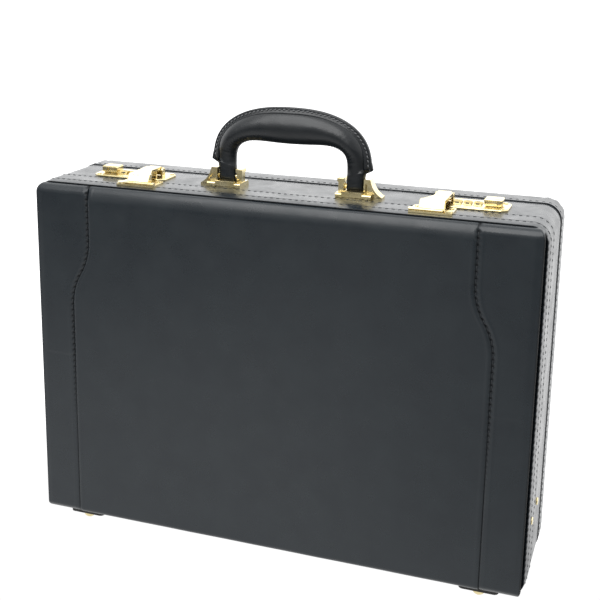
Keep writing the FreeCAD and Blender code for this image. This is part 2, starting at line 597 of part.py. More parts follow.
# ---- locks --------------------------------------------------------------------------------------
def lock_plate():
    """The plate on the body: windows for the dials, a slot for the button, two lugs for the hasp."""
    cut = 5.0
    outline = [(PLATE_IN + cut, PLATE_Y0), (PLATE_OUT - cut, PLATE_Y0), (PLATE_OUT, PLATE_Y0 + cut),
               (PLATE_OUT, PLATE_Y1 - cut), (PLATE_OUT - cut, PLATE_Y1), (PLATE_IN + cut, PLATE_Y1),
               (PLATE_IN, PLATE_Y1 - cut), (PLATE_IN, PLATE_Y0 + cut)]
    plate = prism_xy(outline, Z_DECK, Z_DECK + PLATE_T)
    top_edges = [e for e in plate.Edges if e.BoundBox.ZMin > Z_DECK + PLATE_T - 0.01]
    plate = plate.makeChamfer(0.8, top_edges)
    lugs = []
    for x0 in (LUG_IN, LUG_OUT - LUG_T):
        lug = join([box(x0, x0 + LUG_T, HASP_PIN_Y - LUG_R, HASP_PIN_Y + LUG_R, Z_DECK + 1.0, HASP_PIN_Z),
                    cyl_x(x0, x0 + LUG_T, HASP_PIN_Y, HASP_PIN_Z, LUG_R)])
        lugs.append(lug)
    plate = join([plate] + lugs)
    cuts = [cyl_x(HASP_IN - 6, HASP_OUT + 6, HASP_PIN_Y, HASP_PIN_Z, HASP_PIN_R)]
    reach = DIAL_R + CLEAR
    for x in DIAL_XS:
        cuts.append(box(x - DIAL_W / 2 - CLEAR, x + DIAL_W / 2 + CLEAR, LOCK_Y - reach, LOCK_Y + reach,
                        Z_DECK - 1, Z_DECK + PLATE_T + 1))
    cuts.append(box(STEM_X0 - CLEAR, STEM_X1 + BUTTON_TRAVEL + CLEAR, LOCK_Y - STEM_HALF - CLEAR,
                    LOCK_Y + STEM_HALF + CLEAR, Z_DECK - 1, Z_DECK + PLATE_T + 1))
    cuts.append(box(TAIL_X0 - CLEAR, TAIL_X1 + CLEAR, HASP_PIN_Y - TAIL_Y1 - TAIL_SWING,
                    HASP_PIN_Y - TAIL_Y0 + CLEAR, Z_DECK - 1, Z_DECK + PLATE_T + 1))
    for x, y in PLATE_RIVETS:
        cuts.append(cyl_z(Z_DECK - 1, Z_DECK + PLATE_T + 1, x, y, PLATE_RIVET_R + HOLE_PLAY))
    return cut_all(plate, cuts)


def lock_housing():
    """An open-topped steel pan under the plate, with two walls that carry the dials' spindle."""
    t = HOUSING_T
    y0, y1 = HOUSING_Y0 + t, HOUSING_Y1 - t
    pan = box(HOUSING_IN, HOUSING_OUT, HOUSING_Y0, HOUSING_Y1, Z_HOUSING, Z_DECK)
    pan = pan.cut(box(HOUSING_IN + t, HOUSING_OUT - t, y0, y1, Z_HOUSING + t, Z_DECK + 1))
    walls = [box(x, x + t, y0, y1, Z_WALL, Z_DECK) for x in (PARTITION_X, SPINDLE_IN)]
    pan = join([pan] + walls)
    return pan.cut(cyl_x(SPINDLE_IN - 1, PARTITION_X + 2, LOCK_Y, Z_DIAL, SPINDLE_R))


def dial(x):
    """A ten-sided wheel with rounded corners and one shallow groove between sides."""
    r = DIAL_R
    x0, x1 = x - DIAL_W / 2, x + DIAL_W / 2
    corners = []
    for i in range(DIAL_FACES):
        a = 2 * math.pi * (i + 0.5) / DIAL_FACES
        corners.append((LOCK_Y + r * math.cos(a), Z_DIAL + r * math.sin(a)))
    wheel = prism_yz(corners, x0, x1)
    wheel = wheel.common(cyl_x(x0 - 1, x1 + 1, LOCK_Y, Z_DIAL, r * 0.985))
    grooves = [cyl_x(x0 - 1, x1 + 1, y, z, DIAL_GROOVE_R) for y, z in corners]
    return cut_all(wheel, grooves + [cyl_x(x0 - 1, x1 + 1, LOCK_Y, Z_DIAL, DIAL_BORE_R)])


def hasp():
    """The hasp: a knob on the pin between the lugs, a lever, a wedge-shaped nose and a tail for the bolt."""
    f = Y_FRONT
    outline = [(f + 8.2, Z_NOSE), (f + 12.5, Z_HASP_TOP), (HASP_PIN_Y, Z_HASP_TOP + 0.5),
               (HASP_PIN_Y, Z_LEVER), (f + 16.0, Z_LEVER), (f + 16.0, Z_NOSE)]
    body = prism_yz(outline, HASP_IN, HASP_OUT)
    side = prism_xy([(HASP_IN - 1, f + 17), (HASP_IN + 1, f + 17), (KNOB_IN, f + 31), (KNOB_IN, f + 60),
                     (HASP_IN - 1, f + 60)], Z_NOSE - 1, Z_HASP_TOP + 5)
    knob = cyl_x(KNOB_IN, HASP_OUT, HASP_PIN_Y, HASP_PIN_Z, HASP_KNOB_R)
    tail = box(TAIL_X0, TAIL_X1, HASP_PIN_Y - TAIL_Y1, HASP_PIN_Y - TAIL_Y0, HASP_PIN_Z - TAIL_DROP,
               Z_LEVER + 1)
    whole = join([body.cut(side), knob, tail])
    notch = box(LUG_OUT - LUG_T - CLEAR, HASP_OUT + 1, HASP_PIN_Y - LUG_R - 0.4, HASP_PIN_Y + 9,
                Z_DECK, Z_HASP_TOP + 5)
    whole = whole.cut(notch)
    return whole.cut(cyl_x(HASP_IN - 1, HASP_OUT + 1, HASP_PIN_Y, HASP_PIN_Z, HASP_PIN_R + RUNNING))


def catch_plate():
    """The plate on the lid: a flat, a raised bar along its front with a long slot, and a rounded ear."""
    bar_out = CATCH_OUT - 7.5
    bar_top = Z_DECK + 4.2
    flat = box(CATCH_IN, CATCH_OUT, CATCH_Y0, CATCH_Y1, Z_DECK, Z_DECK + CATCH_T)
    flat = soften(flat, 4.0, lambda e: abs(e.tangentAt(e.FirstParameter).z) > 0.9
                  and e.BoundBox.YMin > CATCH_Y1 - 1)
    bar = box(CATCH_IN, bar_out, CATCH_Y0, CATCH_Y0 + 4.4, Z_DECK, bar_top)
    bar = soften(bar, 1.2, lambda e: abs(e.tangentAt(e.FirstParameter).x) > 0.9
                 and e.BoundBox.ZMin > bar_top - 1)
    slot = box(CATCH_IN + 1.0, bar_out - 0.8, CATCH_Y0 - 1, CATCH_Y0 + 3.2, Z_DECK + 1.9, Z_DECK + 2.9)
    ear = cyl_z(Z_DECK, Z_DECK + 3.2, CATCH_OUT - CATCH_EAR_R, CATCH_Y0 + CATCH_EAR_R, CATCH_EAR_R)
    whole = join([flat, bar, ear]).cut(slot)
    holes = [cyl_z(Z_DECK - 1, Z_DECK + 5, x, y, PLATE_RIVET_R + HOLE_PLAY) for x, y in CATCH_RIVETS]
    return cut_all(whole, holes)


def button():
    """A tall button on the plate that slides outwards, with its stem through the plate's slot."""
    z0 = Z_DECK + PLATE_T + 0.2
    z1 = Z_DECK + 8.5
    cap_z = z0 + 1.2
    cap = box(BUTTON_IN, BUTTON_OUT, BUTTON_Y0, BUTTON_Y1, cap_z, z1)
    cap = soften(cap, 1.4, lambda e: e.BoundBox.ZMin > z1 - 0.01)
    waist = box(BUTTON_IN + 1.0, BUTTON_OUT - 1.0, BUTTON_Y0 + 1.6, BUTTON_Y1, z0, cap_z)
    recess = box(BUTTON_IN + 1.0, BUTTON_OUT - 4.8, BUTTON_Y0 - 1, BUTTON_Y0 + 2.4, cap_z + 0.6, z1 - 2.0)
    stem = box(STEM_X0, STEM_X1, LOCK_Y - STEM_HALF, LOCK_Y + STEM_HALF, Z_SLIDER_TOP, z0)
    return join([cap, waist, stem]).cut(recess)


def latch_slider():
    """The sliding bolt under the plate: a block on the button's stem, a bar and a nose at the hasp."""
    y0, y1 = LOCK_Y - 6.0, LOCK_Y - 4.0
    nose_in = TAIL_X1 + 1.0
    block = box(SLIDER_IN, SLIDER_OUT, LOCK_Y - 4.0, LOCK_Y + 4.0, Z_BAR, Z_SLIDER_TOP)
    bar = box(nose_in, SLIDER_IN + 0.8, y0, LOCK_Y - 3.0, Z_BAR, Z_BAR + SLIDER_T)
    nose = box(nose_in, nose_in + 1.6, y0, y1, Z_BAR, Z_DECK - 1.0)
    link = box(SLIDER_IN, SLIDER_IN + 0.8, y0, y1, Z_BAR, Z_BAR + SLIDER_T)
    return join([block, bar, nose, link])


def plate_rivets():
    z_head = Z_DECK + PLATE_T
    return [rivet_z(x, y, z_head, Z_INSIDE + 0.1, PLATE_RIVET_R, PLATE_HEAD_R, PLATE_HEAD_T)
            for x, y in PLATE_RIVETS]


def catch_rivets():
    z_head = Z_DECK + CATCH_T
    return [rivet_z(x, y, z_head, Z_INSIDE + 0.1, PLATE_RIVET_R, PLATE_HEAD_R, PLATE_HEAD_T)
            for x, y in CATCH_RIVETS]


def locks():
    pieces = {"lock_plate": lock_plate(), "lock_housing": lock_housing(), "hasp": hasp(),
              "catch_plate": catch_plate(), "lock_button": button(), "latch_slider": latch_slider()}
    for name, shape in pieces.items():
        export(name + "_right", shape)
        export(name + "_left", mirrored(shape))
    for i, x in enumerate(DIAL_XS):
        wheel = dial(x)
        export("dial_right_%d" % (i + 1), wheel)
        export("dial_left_%d" % (i + 1), mirrored(wheel))
    spindle = cyl_x(SPINDLE_IN, PARTITION_X + HOUSING_T, LOCK_Y, Z_DIAL, SPINDLE_R)
    export("dial_spindles", *both(spindle))
    pin = cyl_x(LUG_IN, LUG_OUT, HASP_PIN_Y, HASP_PIN_Z, HASP_PIN_R)
    export("hasp_pins", *both(pin))
    export("lock_rivets", *[r for rivet in plate_rivets() for r in both(rivet)])
    export("catch_rivets", *[r for rivet in catch_rivets() for r in both(rivet)])


# ---- stays --------------------------------------------------------------------------------------
def elbow_point():
    """Where the two links meet with the case closed: above the line through the rivets."""
    dy, dz = STAY_BODY_Y - STAY_LID_Y, STAY_BODY_Z - STAY_LID_Z
    span = math.hypot(dy, dz)
    along = (STAY_LID_LINK ** 2 - STAY_BODY_LINK ** 2 + span ** 2) / (2 * span)
    rise = math.sqrt(STAY_LID_LINK ** 2 - along ** 2)
    uy, uz = dy / span, dz / span
    return STAY_LID_Y + along * uy - rise * uz, STAY_LID_Z + along * uz + rise * uy


def stay_link(x_out, y0, z0, y1, z1):
    """A flat link with round ends, its outer face at x_out."""
    x_in = x_out - LINK_T
    length = math.hypot(y1 - y0, z1 - z0)
    bar = Part.makeBox(LINK_T, length, LINK_W, Vector(x_in, 0, -LINK_W / 2))
    bar.rotate(Vector(0, 0, 0), Vector(1, 0, 0), math.degrees(math.atan2(z1 - z0, y1 - y0)))
    bar.translate(Vector(0, y0, z0))
    return join([bar, cyl_x(x_in, x_out, y0, z0, LINK_W / 2), cyl_x(x_in, x_out, y1, z1, LINK_W / 2)])


def stay_rivet(y, z, x_link_out):
    """Domed head outside, shank through the end wall, a collar inside, and a head on the link."""
    x_link_in = x_link_out - LINK_T
    wall_in = CASE_W / 2 - INNER_INSET
    head = cyl_x(X_SIDE, X_SIDE + 1.3, y, z, 3.2)
    head = soften(head, 0.9, lambda e: e.BoundBox.XMin > X_SIDE + 1.29 and e.Closed)
    shank = cyl_x(x_link_in - 0.1, X_SIDE, y, z, STAY_RIVET_R)
    collar = cyl_x(x_link_out + 0.1, wall_in, y, z, 3.0)
    button_head = cyl_x(x_link_in - 0.9, x_link_in - 0.1, y, z, 2.8)
    return join([head, shank, collar, button_head])


def stays():
    ey, ez = elbow_point()
    body_link = stay_link(X_BODY_LINK, STAY_BODY_Y, STAY_BODY_Z, ey, ez)
    x_lid_in = X_LID_LINK - LINK_T
    elbow_pin = cyl_x(x_lid_in - 0.1, X_BODY_LINK, ey, ez, STAY_RIVET_R)
    elbow_head = cyl_x(x_lid_in - 0.9, x_lid_in - 0.1, ey, ez, 2.8)
    body_link = join([body_link, elbow_pin, elbow_head])
    body_link = body_link.cut(cyl_x(0, CASE_W, STAY_BODY_Y, STAY_BODY_Z, STAY_RIVET_R + RUNNING))
    lid_link = stay_link(X_LID_LINK, STAY_LID_Y, STAY_LID_Z, ey, ez)
    lid_link = lid_link.cut(cyl_x(0, CASE_W, STAY_LID_Y, STAY_LID_Z, STAY_RIVET_R + RUNNING))
    lid_link = lid_link.cut(cyl_x(0, CASE_W, ey, ez, STAY_RIVET_R + ELBOW_PLAY))
    export("stay_body_link_right", body_link)
    export("stay_body_link_left", mirrored(body_link))
    export("stay_lid_link_right", lid_link)
    export("stay_lid_link_left", mirrored(lid_link))
    export("stay_body_rivets", *both(stay_rivet(STAY_BODY_Y, STAY_BODY_Z, X_BODY_LINK)))
    export("stay_lid_rivets", *both(stay_rivet(STAY_LID_Y, STAY_LID_Z, X_LID_LINK)))


os.makedirs("parts", exist_ok=True)
body_shell()
lid_shell()
lid_panel()
file_pocket()
hinge()
feet()
handle()
locks()
stays()
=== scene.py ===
import math

import bmesh
import bpy
import numpy as np
from mathutils import Matrix, Vector, noise


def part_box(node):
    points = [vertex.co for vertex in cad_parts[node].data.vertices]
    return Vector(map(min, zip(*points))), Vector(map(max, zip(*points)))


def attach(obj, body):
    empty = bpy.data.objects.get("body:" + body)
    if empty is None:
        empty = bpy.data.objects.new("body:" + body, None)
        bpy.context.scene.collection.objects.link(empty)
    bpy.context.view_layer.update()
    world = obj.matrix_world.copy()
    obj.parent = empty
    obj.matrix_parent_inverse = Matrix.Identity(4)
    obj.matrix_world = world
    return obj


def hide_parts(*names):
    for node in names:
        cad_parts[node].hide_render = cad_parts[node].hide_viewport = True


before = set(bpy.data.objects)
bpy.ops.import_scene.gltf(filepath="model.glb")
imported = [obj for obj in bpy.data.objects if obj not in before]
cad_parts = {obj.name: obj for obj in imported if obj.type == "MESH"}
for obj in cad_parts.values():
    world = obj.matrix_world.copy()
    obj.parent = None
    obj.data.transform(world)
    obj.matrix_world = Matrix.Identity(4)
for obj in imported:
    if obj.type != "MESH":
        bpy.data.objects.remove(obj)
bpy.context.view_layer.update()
MM = 0.001

# ---- places taken from the frame
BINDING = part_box("back_binding")
LID_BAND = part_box("lid_band")
BODY_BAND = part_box("body_band")
PANEL = (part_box("panel_leather_left")[0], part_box("panel_leather_right")[1])
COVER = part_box("back_cover")
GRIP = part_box("handle_grip")
X_HALF = BINDING[1].x
Z_LOW, Z_HIGH = BINDING[0].z, BINDING[1].z
Z_MIDDLE = (Z_LOW + Z_HIGH) / 2
Y_FRONT, Y_LID_RIM = LID_BAND[0].y, LID_BAND[1].y
Y_BODY_RIM, Y_BINDING, Y_BACK = BODY_BAND[0].y, BINDING[0].y, BINDING[1].y
Y_FACE = PANEL[0].y
# the photo has the seams 1 and 4 mm nearer the middle
SEAM_X_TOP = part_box("panel_leather_right")[0].x - 1.0 * MM
SEAM_X_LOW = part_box("panel_leather_middle")[1].x - 4.0 * MM
BAND_INSET = X_HALF - LID_BAND[1].x
PANEL_X = PANEL[1].x + 0.3 * MM
GRIP_Y = (GRIP[0].y + GRIP[1].y) / 2

# ---- sizes of what only shows here
CORNER_R = 15 * MM  # the case's corners, seen from the front
PANEL_R_TOP = 8.5 * MM  # the padded front's corners
PANEL_R_LOW = 6.5 * MM
PANEL_PROUD = Y_FRONT - Y_FACE
UNDERCUT = 2.2 * MM  # how far its sides lean in towards the board
FOAM_INSET = 4 * MM  # its foam ends this far inside its rim
FOAM_T = 4 * MM
COVER_R = 11 * MM  # the back cover's corners
STITCH = 5.5 * MM  # one stitch and its gap
STITCH_LEN = 3.4 * MM
THREAD_R = 0.30 * MM
SKIN_T = 1.1 * MM  # thickness of the padded leathers
BAND_T = 0.78 * MM  # thickness of the bands
LEAST = 0.02 * MM  # a skin's least height over what it lies on
CLOTH_T = 0.7 * MM
PLATE_X, PLATE_HALF = 59.5 * MM, 16.5 * MM  # openings for the handle's backing plates
POCKET_ROW, HEM_ROW = 4 * MM, 8 * MM
DIAL_MARKS = 10
ROW_FRONT = Y_FRONT + 8.5 * MM
ROW_RIM = Y_LID_RIM - 1.7 * MM
ROW_BINDING = Y_BINDING + 5.0 * MM
SEAM_Z = Z_LOW + 237 * MM  # middle of the S in the side seams
SEAM_HALF = 30 * MM
SEAM_STITCH = 5.4 * MM
SEAM_ROW = 0.7 * MM  # the stitch row, this far outside the seam
SEAM_DEPTH, SEAM_WIDTH = 0.55 * MM, 1.1 * MM
HOLE_DEPTH, HOLE_R = 0.8 * MM, 1.5 * MM


# ---- small tools
def linked(name, data):
    """A new object in the scene."""
    obj = bpy.data.objects.new(name, data)
    bpy.context.scene.collection.objects.link(obj)
    return obj


def mesh_object(name, verts, faces, finish, smooth=True):
    mesh = bpy.data.meshes.new(name)
    mesh.from_pydata([tuple(v) for v in verts], [], faces)
    mesh.polygons.foreach_set("use_smooth", [smooth] * len(mesh.polygons))
    mesh.materials.append(finish)
    mesh.update()
    return linked(name, mesh)


def closed_mesh(name, verts, faces, finish, smooth=True):
    """A mesh object whose surface is closed, with every face turned outwards."""
    obj = mesh_object(name, verts, faces, finish, smooth)
    bm = bmesh.new()
    bm.from_mesh(obj.data)
    bmesh.ops.recalc_face_normals(bm, faces=bm.faces)
    bm.to_mesh(obj.data)
    bm.free()
    return obj


def grid_faces(rows, cols, wrap_rows=False, wrap_cols=False, start=0):
    """Quads over a grid of points numbered row by row."""
    faces = []
    for r in range(rows if wrap_rows else rows - 1):
        for c in range(cols if wrap_cols else cols - 1):
            r2, c2 = (r + 1) % rows, (c + 1) % cols
            faces.append((start + r * cols + c, start + r * cols + c2,
                          start + r2 * cols + c2, start + r2 * cols + c))
    return faces


def rim_faces(rows, width, count):
    """The narrow faces that close two matching grids round their rim."""
    rim = list(range(width)) + [r * width + width - 1 for r in range(1, rows)]
    rim += [(rows - 1) * width + c for c in reversed(range(width - 1))]
    rim += [r * width for r in reversed(range(1, rows - 1))]
    return [(b, a, count + a, count + b) for a, b in zip(rim, rim[1:] + rim[:1])]


def thin_skin(name, front, back, rows, finish):
    """A closed skin between two matching grids of points, each of so many rows."""
    count = len(front)
    width = count // rows
    faces = grid_faces(rows, width)
    faces += [tuple(count + i for i in reversed(face)) for face in faces]
    faces += rim_faces(rows, width, count)
    return closed_mesh(name, np.concatenate([front, back]), faces, finish)


def spread(low, high, fine, coarse, margin):
    """Places from low to high, fine within margin of both ends and coarse between."""
    ends = np.linspace(0, margin, max(2, round(margin / fine) + 1))
    middle = np.linspace(margin, high - low - margin, max(2, round((high - low - 2 * margin) / coarse) + 1))
    return low + np.concatenate([ends[:-1], middle[:-1], (high - low) - ends[::-1]])


def bump_noise(x, y, z, size):
    """Smooth noise from -1 to 1 at points given in metres, with features of that size."""
    return np.array([noise.noise(Vector(p) / size) for p in zip(x, y, z)])


def bell(distance, width):
    return np.exp(-(distance / width) ** 2)


def smoothstep(t):
    t = np.clip(t, 0, 1)
    return t * t * (3 - 2 * t)


def outline(inset, step):
    """The case from the front, drawn in by inset: points (x, z), normals, run lengths, whole length."""
    right, low, high = X_HALF - CORNER_R, Z_LOW + CORNER_R, Z_HIGH - CORNER_R
    centres = [(right, high), (-right, high), (-right, low), (right, low)]
    arc_steps = max(6, round(CORNER_R * math.pi / 2 / step))
    points, normals = [], []
    for i, (cx, cz) in enumerate(centres):
        for k in range(arc_steps + 1):
            a = math.pi / 2 * (i + k / arc_steps)
            normals.append((math.cos(a), math.sin(a)))
            points.append((cx + CORNER_R * math.cos(a), cz + CORNER_R * math.sin(a)))
        nx, nz = centres[(i + 1) % 4]
        here = np.array(points[-1])
        there = np.array([nx + CORNER_R * math.cos(a), nz + CORNER_R * math.sin(a)])
        count = max(2, round(np.linalg.norm(there - here) / step))
        for k in range(1, count):
            points.append(tuple(here + (there - here) * k / count))
            normals.append((math.cos(a), math.sin(a)))
    points, normals = np.array(points), np.array(normals)
    gaps = np.linalg.norm(np.roll(points, -1, 0) - points, axis=1)
    run = np.concatenate([[0], np.cumsum(gaps)[:-1]])
    return points - normals * inset, normals, run, gaps.sum()


def rail_points(inset, pitch):
    """Evenly spaced places round the case's outline: points, outward normals and directions."""
    points, normals, run, total = outline(inset, MM)
    count = round(total / pitch)
    at = (np.arange(count) + 0.5) * total / count
    closed = np.concatenate([run, [total]])
    found = [np.interp(at, closed, np.append(column, column[0])) for column in (*points.T, *normals.T)]
    outward = np.array(found[2:]).T
    outward /= np.linalg.norm(outward, axis=1)[:, None]
    along = np.stack([-outward[:, 1], outward[:, 0]], 1)
    return np.array(found[:2]).T, outward, along


def ring_skin(name, profile, finish, step, dent=None):
    """A closed skin round the case. profile is a closed list of (y, inset); dent gives extra inset."""
    points, normals, run, total = outline(0, step)
    rows = []
    for y, inset in profile:
        extra = 0 if dent is None else dent(y, run, total, inset)
        shifted = points - normals * (inset + np.asarray(extra).reshape(-1, 1))
        rows.append(np.stack([shifted[:, 0], np.full(len(points), y), shifted[:, 1]], 1))
    faces = grid_faces(len(rows), len(points), True, True)
    return closed_mesh(name, np.concatenate(rows), faces, finish)


def steps_from(y, inset, steps):
    """Places of a profile, each some mm from (y, inset)."""
    return [(y + a * MM, inset + b * MM) for a, b in steps]


def cut_away(obj, tool):
    """Cuts a tool's shape out of a closed mesh and removes the tool."""
    cut = obj.modifiers.new("cut", "BOOLEAN")
    cut.operation = "DIFFERENCE"
    cut.solver = "EXACT"
    cut.object = tool
    bpy.context.view_layer.objects.active = obj
    with bpy.context.temp_override(object=obj, active_object=obj, selected_objects=[obj]):
        bpy.ops.object.modifier_apply(modifier=cut.name)
    bpy.data.objects.remove(tool)


def cut_box(obj, low, high):
    """Cuts a box out of a closed mesh."""
    corners = [(x, y, z) for x in (low.x, high.x) for y in (low.y, high.y) for z in (low.z, high.z)]
    faces = [(0, 1, 3, 2), (4, 6, 7, 5), (0, 4, 5, 1), (2, 3, 7, 6), (0, 2, 6, 4), (1, 5, 7, 3)]
    cut_away(obj, closed_mesh("cutter", corners, faces, LEATHER, False))


def stitches(name, spots, along, outward, finish, length=STITCH_LEN, radius=THREAD_R, sink=0.4, slant=0.0):
    """A row of thread stitches: each a short bowed capsule whose ends dive into the leather."""
    sides, rings = 8, 7
    verts, faces = [], []
    for place, a, n in zip(spots, along, outward):
        a, n = Vector(a).normalized(), Vector(n).normalized()
        b = n.cross(a)
        a = (a * math.cos(slant) + b * math.sin(slant)).normalized()
        b = n.cross(a)
        base = len(verts)
        for r in range(rings):
            t = r / (rings - 1) * 2 - 1
            girth = radius * (1 - 0.25 * t * t)
            dive = radius * (1 + 2 * sink) * t ** 4
            centre = Vector(place) + a * (t * length / 2) + n * (radius * 0.75 - dive)
            for k in range(sides):
                w = 2 * math.pi * k / sides
                verts.append(centre + b * (girth * 1.15 * math.cos(w)) + n * (girth * math.sin(w)))
        faces += grid_faces(rings, sides, False, True, base)
        faces.append(tuple(base + k for k in reversed(range(sides))))
        faces.append(tuple(base + (rings - 1) * sides + k for k in range(sides)))
    return closed_mesh(name, verts, faces, finish)


# ---- materials
class Nodes:
    """A material's node tree, with short calls to add and join nodes."""

    def __init__(self, name):
        self.material = bpy.data.materials.new(name)
        self.material.use_nodes = True
        self.tree = self.material.node_tree
        self.shader = self.tree.nodes["Principled BSDF"]
        self.place = self.add("ShaderNodeTexCoord").outputs["Object"]

    def add(self, kind, **settings):
        node = self.tree.nodes.new(kind)
        for key, value in settings.items():
            if key.startswith("in_"):
                node.inputs[key[3:].replace("_", " ")].default_value = value
            else:
                setattr(node, key, value)
        return node

    def join(self, out, into):
        self.tree.links.new(out, into)

    def feed(self, out, socket):
        self.join(out, self.shader.inputs[socket])

    def finish(self, colour, rough, bump):
        """Joins or sets the shader's three main inputs, and hands over the material."""
        for value, socket in ((colour, "Base Color"), (rough, "Roughness"), (bump, "Normal")):
            if isinstance(value, float):
                self.shader.inputs[socket].default_value = value
            else:
                self.feed(value, socket)
        return self.material

    def axes(self):
        """The place on the object, as x, y and z."""
        apart = self.add("ShaderNodeSeparateXYZ")
        self.join(self.place, apart.inputs[0])
        return apart.outputs

    def noise(self, scale, detail=3.0, rough=0.55, stretch=None):
        node = self.add("ShaderNodeTexNoise", in_Scale=scale, in_Detail=detail, in_Roughness=rough)
        self.join(self.stretched(stretch), node.inputs["Vector"])
        return node.outputs["Fac"]

    def cells(self, scale, feature="F1"):
        node = self.add("ShaderNodeTexVoronoi", feature=feature, in_Scale=scale)
        self.join(self.place, node.inputs["Vector"])
        return node.outputs["Distance"]

    def stretched(self, scale):
        if scale is None:
            return self.place
        node = self.add("ShaderNodeMapping", in_Scale=scale)
        self.join(self.place, node.inputs["Vector"])
        return node.outputs["Vector"]

    def ramp(self, value, stops):
        node = self.add("ShaderNodeValToRGB")
        marks = node.color_ramp.elements
        while len(marks) < len(stops):
            marks.new(0.5)
        for mark, (at, colour) in zip(marks, stops):
            mark.position = at
            mark.color = (*colour, 1)
        self.join(value, node.inputs["Fac"])
        return node.outputs["Color"]

    def span(self, value, low, high, start=0.0, end=1.0):
        node = self.add("ShaderNodeMapRange", in_From_Min=start, in_From_Max=end, in_To_Min=low,
                        in_To_Max=high)
        self.join(value, node.inputs["Value"])
        return node.outputs["Result"]

    def maths(self, operation, a, b=0):
        node = self.add("ShaderNodeMath", operation=operation)
        for socket, value in zip(node.inputs, (a, b)):
            if isinstance(value, (int, float)):
                socket.default_value = value
            else:
                self.join(value, socket)
        return node.outputs[0]

    def mix(self, fac, a, b):
        node = self.add("ShaderNodeMix", data_type="RGBA")
        for socket, value in ((node.inputs["Factor"], fac), (node.inputs["A"], a), (node.inputs["B"], b)):
            if isinstance(value, tuple):
                socket.default_value = (*value, 1)
            elif isinstance(value, (int, float)):
                socket.default_value = value
            else:
                self.join(value, socket)
        return node.outputs["Result"]

    def bump(self, height, depth, strength, under=None):
        node = self.add("ShaderNodeBump", in_Strength=strength, in_Distance=depth)
        self.join(height, node.inputs["Height"])
        if under is not None:
            self.join(under, node.inputs["Normal"])
        return node.outputs["Normal"]

    def crease_shade(self):
        """The painted crease shade: how deep in a seam, stitch hole or crevice the surface is, painted on the
        mesh from 0 to 1.
        """
        return self.add("ShaderNodeAttribute", attribute_name="crease_shade").outputs["Fac"]


def leather(name, dark, light, gloss, grain=1.0, crease_shading=True):
    """Smooth cowhide: pores, folds and slow waves, with painted shade, near black, in its creases, seams,
    stitch holes and crevices, where it is also duller.
    """
    n = Nodes(name)
    cloud = n.noise(35, 4)
    fleck = n.ramp(n.noise(900, 2), [(0.0, (0, 0, 0)), (0.735, (0, 0, 0)), (0.76, (1, 1, 1))])
    colour = n.mix(n.span(cloud, 0, 1, 0.3, 0.7), dark, light)
    colour = n.mix(fleck, colour, tuple(min(1, c * 3.5) for c in light))
    rough = n.span(n.noise(60, 5), gloss - 0.05, gloss + 0.07, 0.3, 0.7)
    # painted shade: where crease shade is painted on the mesh, the colour goes near black and the specular
    # reflection drops; the leather is also rougher there
    if crease_shading:
        colour = n.mix(n.crease_shade(), colour, (0.001, 0.001, 0.0012))
        rough = n.maths("ADD", rough, n.maths("MULTIPLY", n.crease_shade(), 0.45))
        n.feed(n.span(n.crease_shade(), 0.5, 0.1), "Specular IOR Level")
    pores = n.cells(850)
    folds = n.cells(430, "SMOOTH_F1")
    height = n.maths("ADD", n.maths("MULTIPLY", pores, 0.5), n.maths("MULTIPLY", folds, 0.7))
    fine = n.bump(height, 0.05 * MM * grain, 0.55)
    return n.finish(colour, rough, n.bump(n.noise(45, 2), 0.4 * MM, 0.14, fine))


def polished(name, deep, bright, gloss, brushed=None):
    """Plated metal, a little smeared and uneven; brushed stretches its fine marks."""
    n = Nodes(name)
    n.shader.inputs["Metallic"].default_value = 1.0
    colour = n.mix(n.span(n.noise(120, 4, 0.6), 0, 1, 0.3, 0.7), deep, bright)
    rough = n.span(n.noise(400, 5), gloss * 0.7, gloss * 1.5, 0.3, 0.7)
    return n.finish(colour, rough, n.bump(n.noise(260, 2, 0.5, brushed), 0.006 * MM, 0.25))


def dial_finish(name):
    """Gold with ten dark marks round each dial, where its digits would be."""
    n = Nodes(name)
    centres = [(low + high) / 2 for low, high in (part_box("dial_right_1"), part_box("dial_right_2"))]
    pitch = abs(centres[1].x - centres[0].x)
    x, y, z = n.axes()
    y = n.maths("SUBTRACT", y, centres[0].y)
    z = n.maths("SUBTRACT", z, centres[0].z)
    turn = n.maths("MULTIPLY", n.maths("ARCTAN2", y, z), DIAL_MARKS / (2 * math.pi))
    beside = n.maths("SUBTRACT", n.maths("ABSOLUTE", x), min(abs(c.x) for c in centres))
    around = n.maths("LESS_THAN", n.maths("PINGPONG", turn, 0.5), 0.2)
    across = n.maths("LESS_THAN", n.maths("PINGPONG", beside, pitch / 2), 1.5 * MM)
    mark = n.maths("MULTIPLY", around, across)
    smear = n.mix(n.noise(300, 4, 0.6), (0.36, 0.27, 0.09), (0.62, 0.50, 0.22))
    n.feed(n.span(mark, 1.0, 0.2), "Metallic")
    colour = n.mix(mark, smear, (0.012, 0.010, 0.007))
    rough = n.span(n.noise(400, 5), 0.14, 0.3, 0.3, 0.7)
    return n.finish(colour, rough, n.bump(n.noise(260, 2), 0.006 * MM, 0.25))


def thread(name, dark, light):
    n = Nodes(name)
    twist = n.noise(2600, 2, 0.6, (1.0, 0.4, 1.0))
    rough = n.span(n.noise(900), 0.55, 0.8)
    return n.finish(n.mix(twist, dark, light), rough, n.bump(twist, 0.08 * MM, 0.8))


def rubber(name):
    n = Nodes(name)
    colour = n.mix(n.noise(150), (0.006, 0.006, 0.006), (0.014, 0.014, 0.013))
    return n.finish(colour, n.span(n.noise(300), 0.55, 0.75), n.bump(n.noise(1500, 4), 0.04 * MM, 0.6))


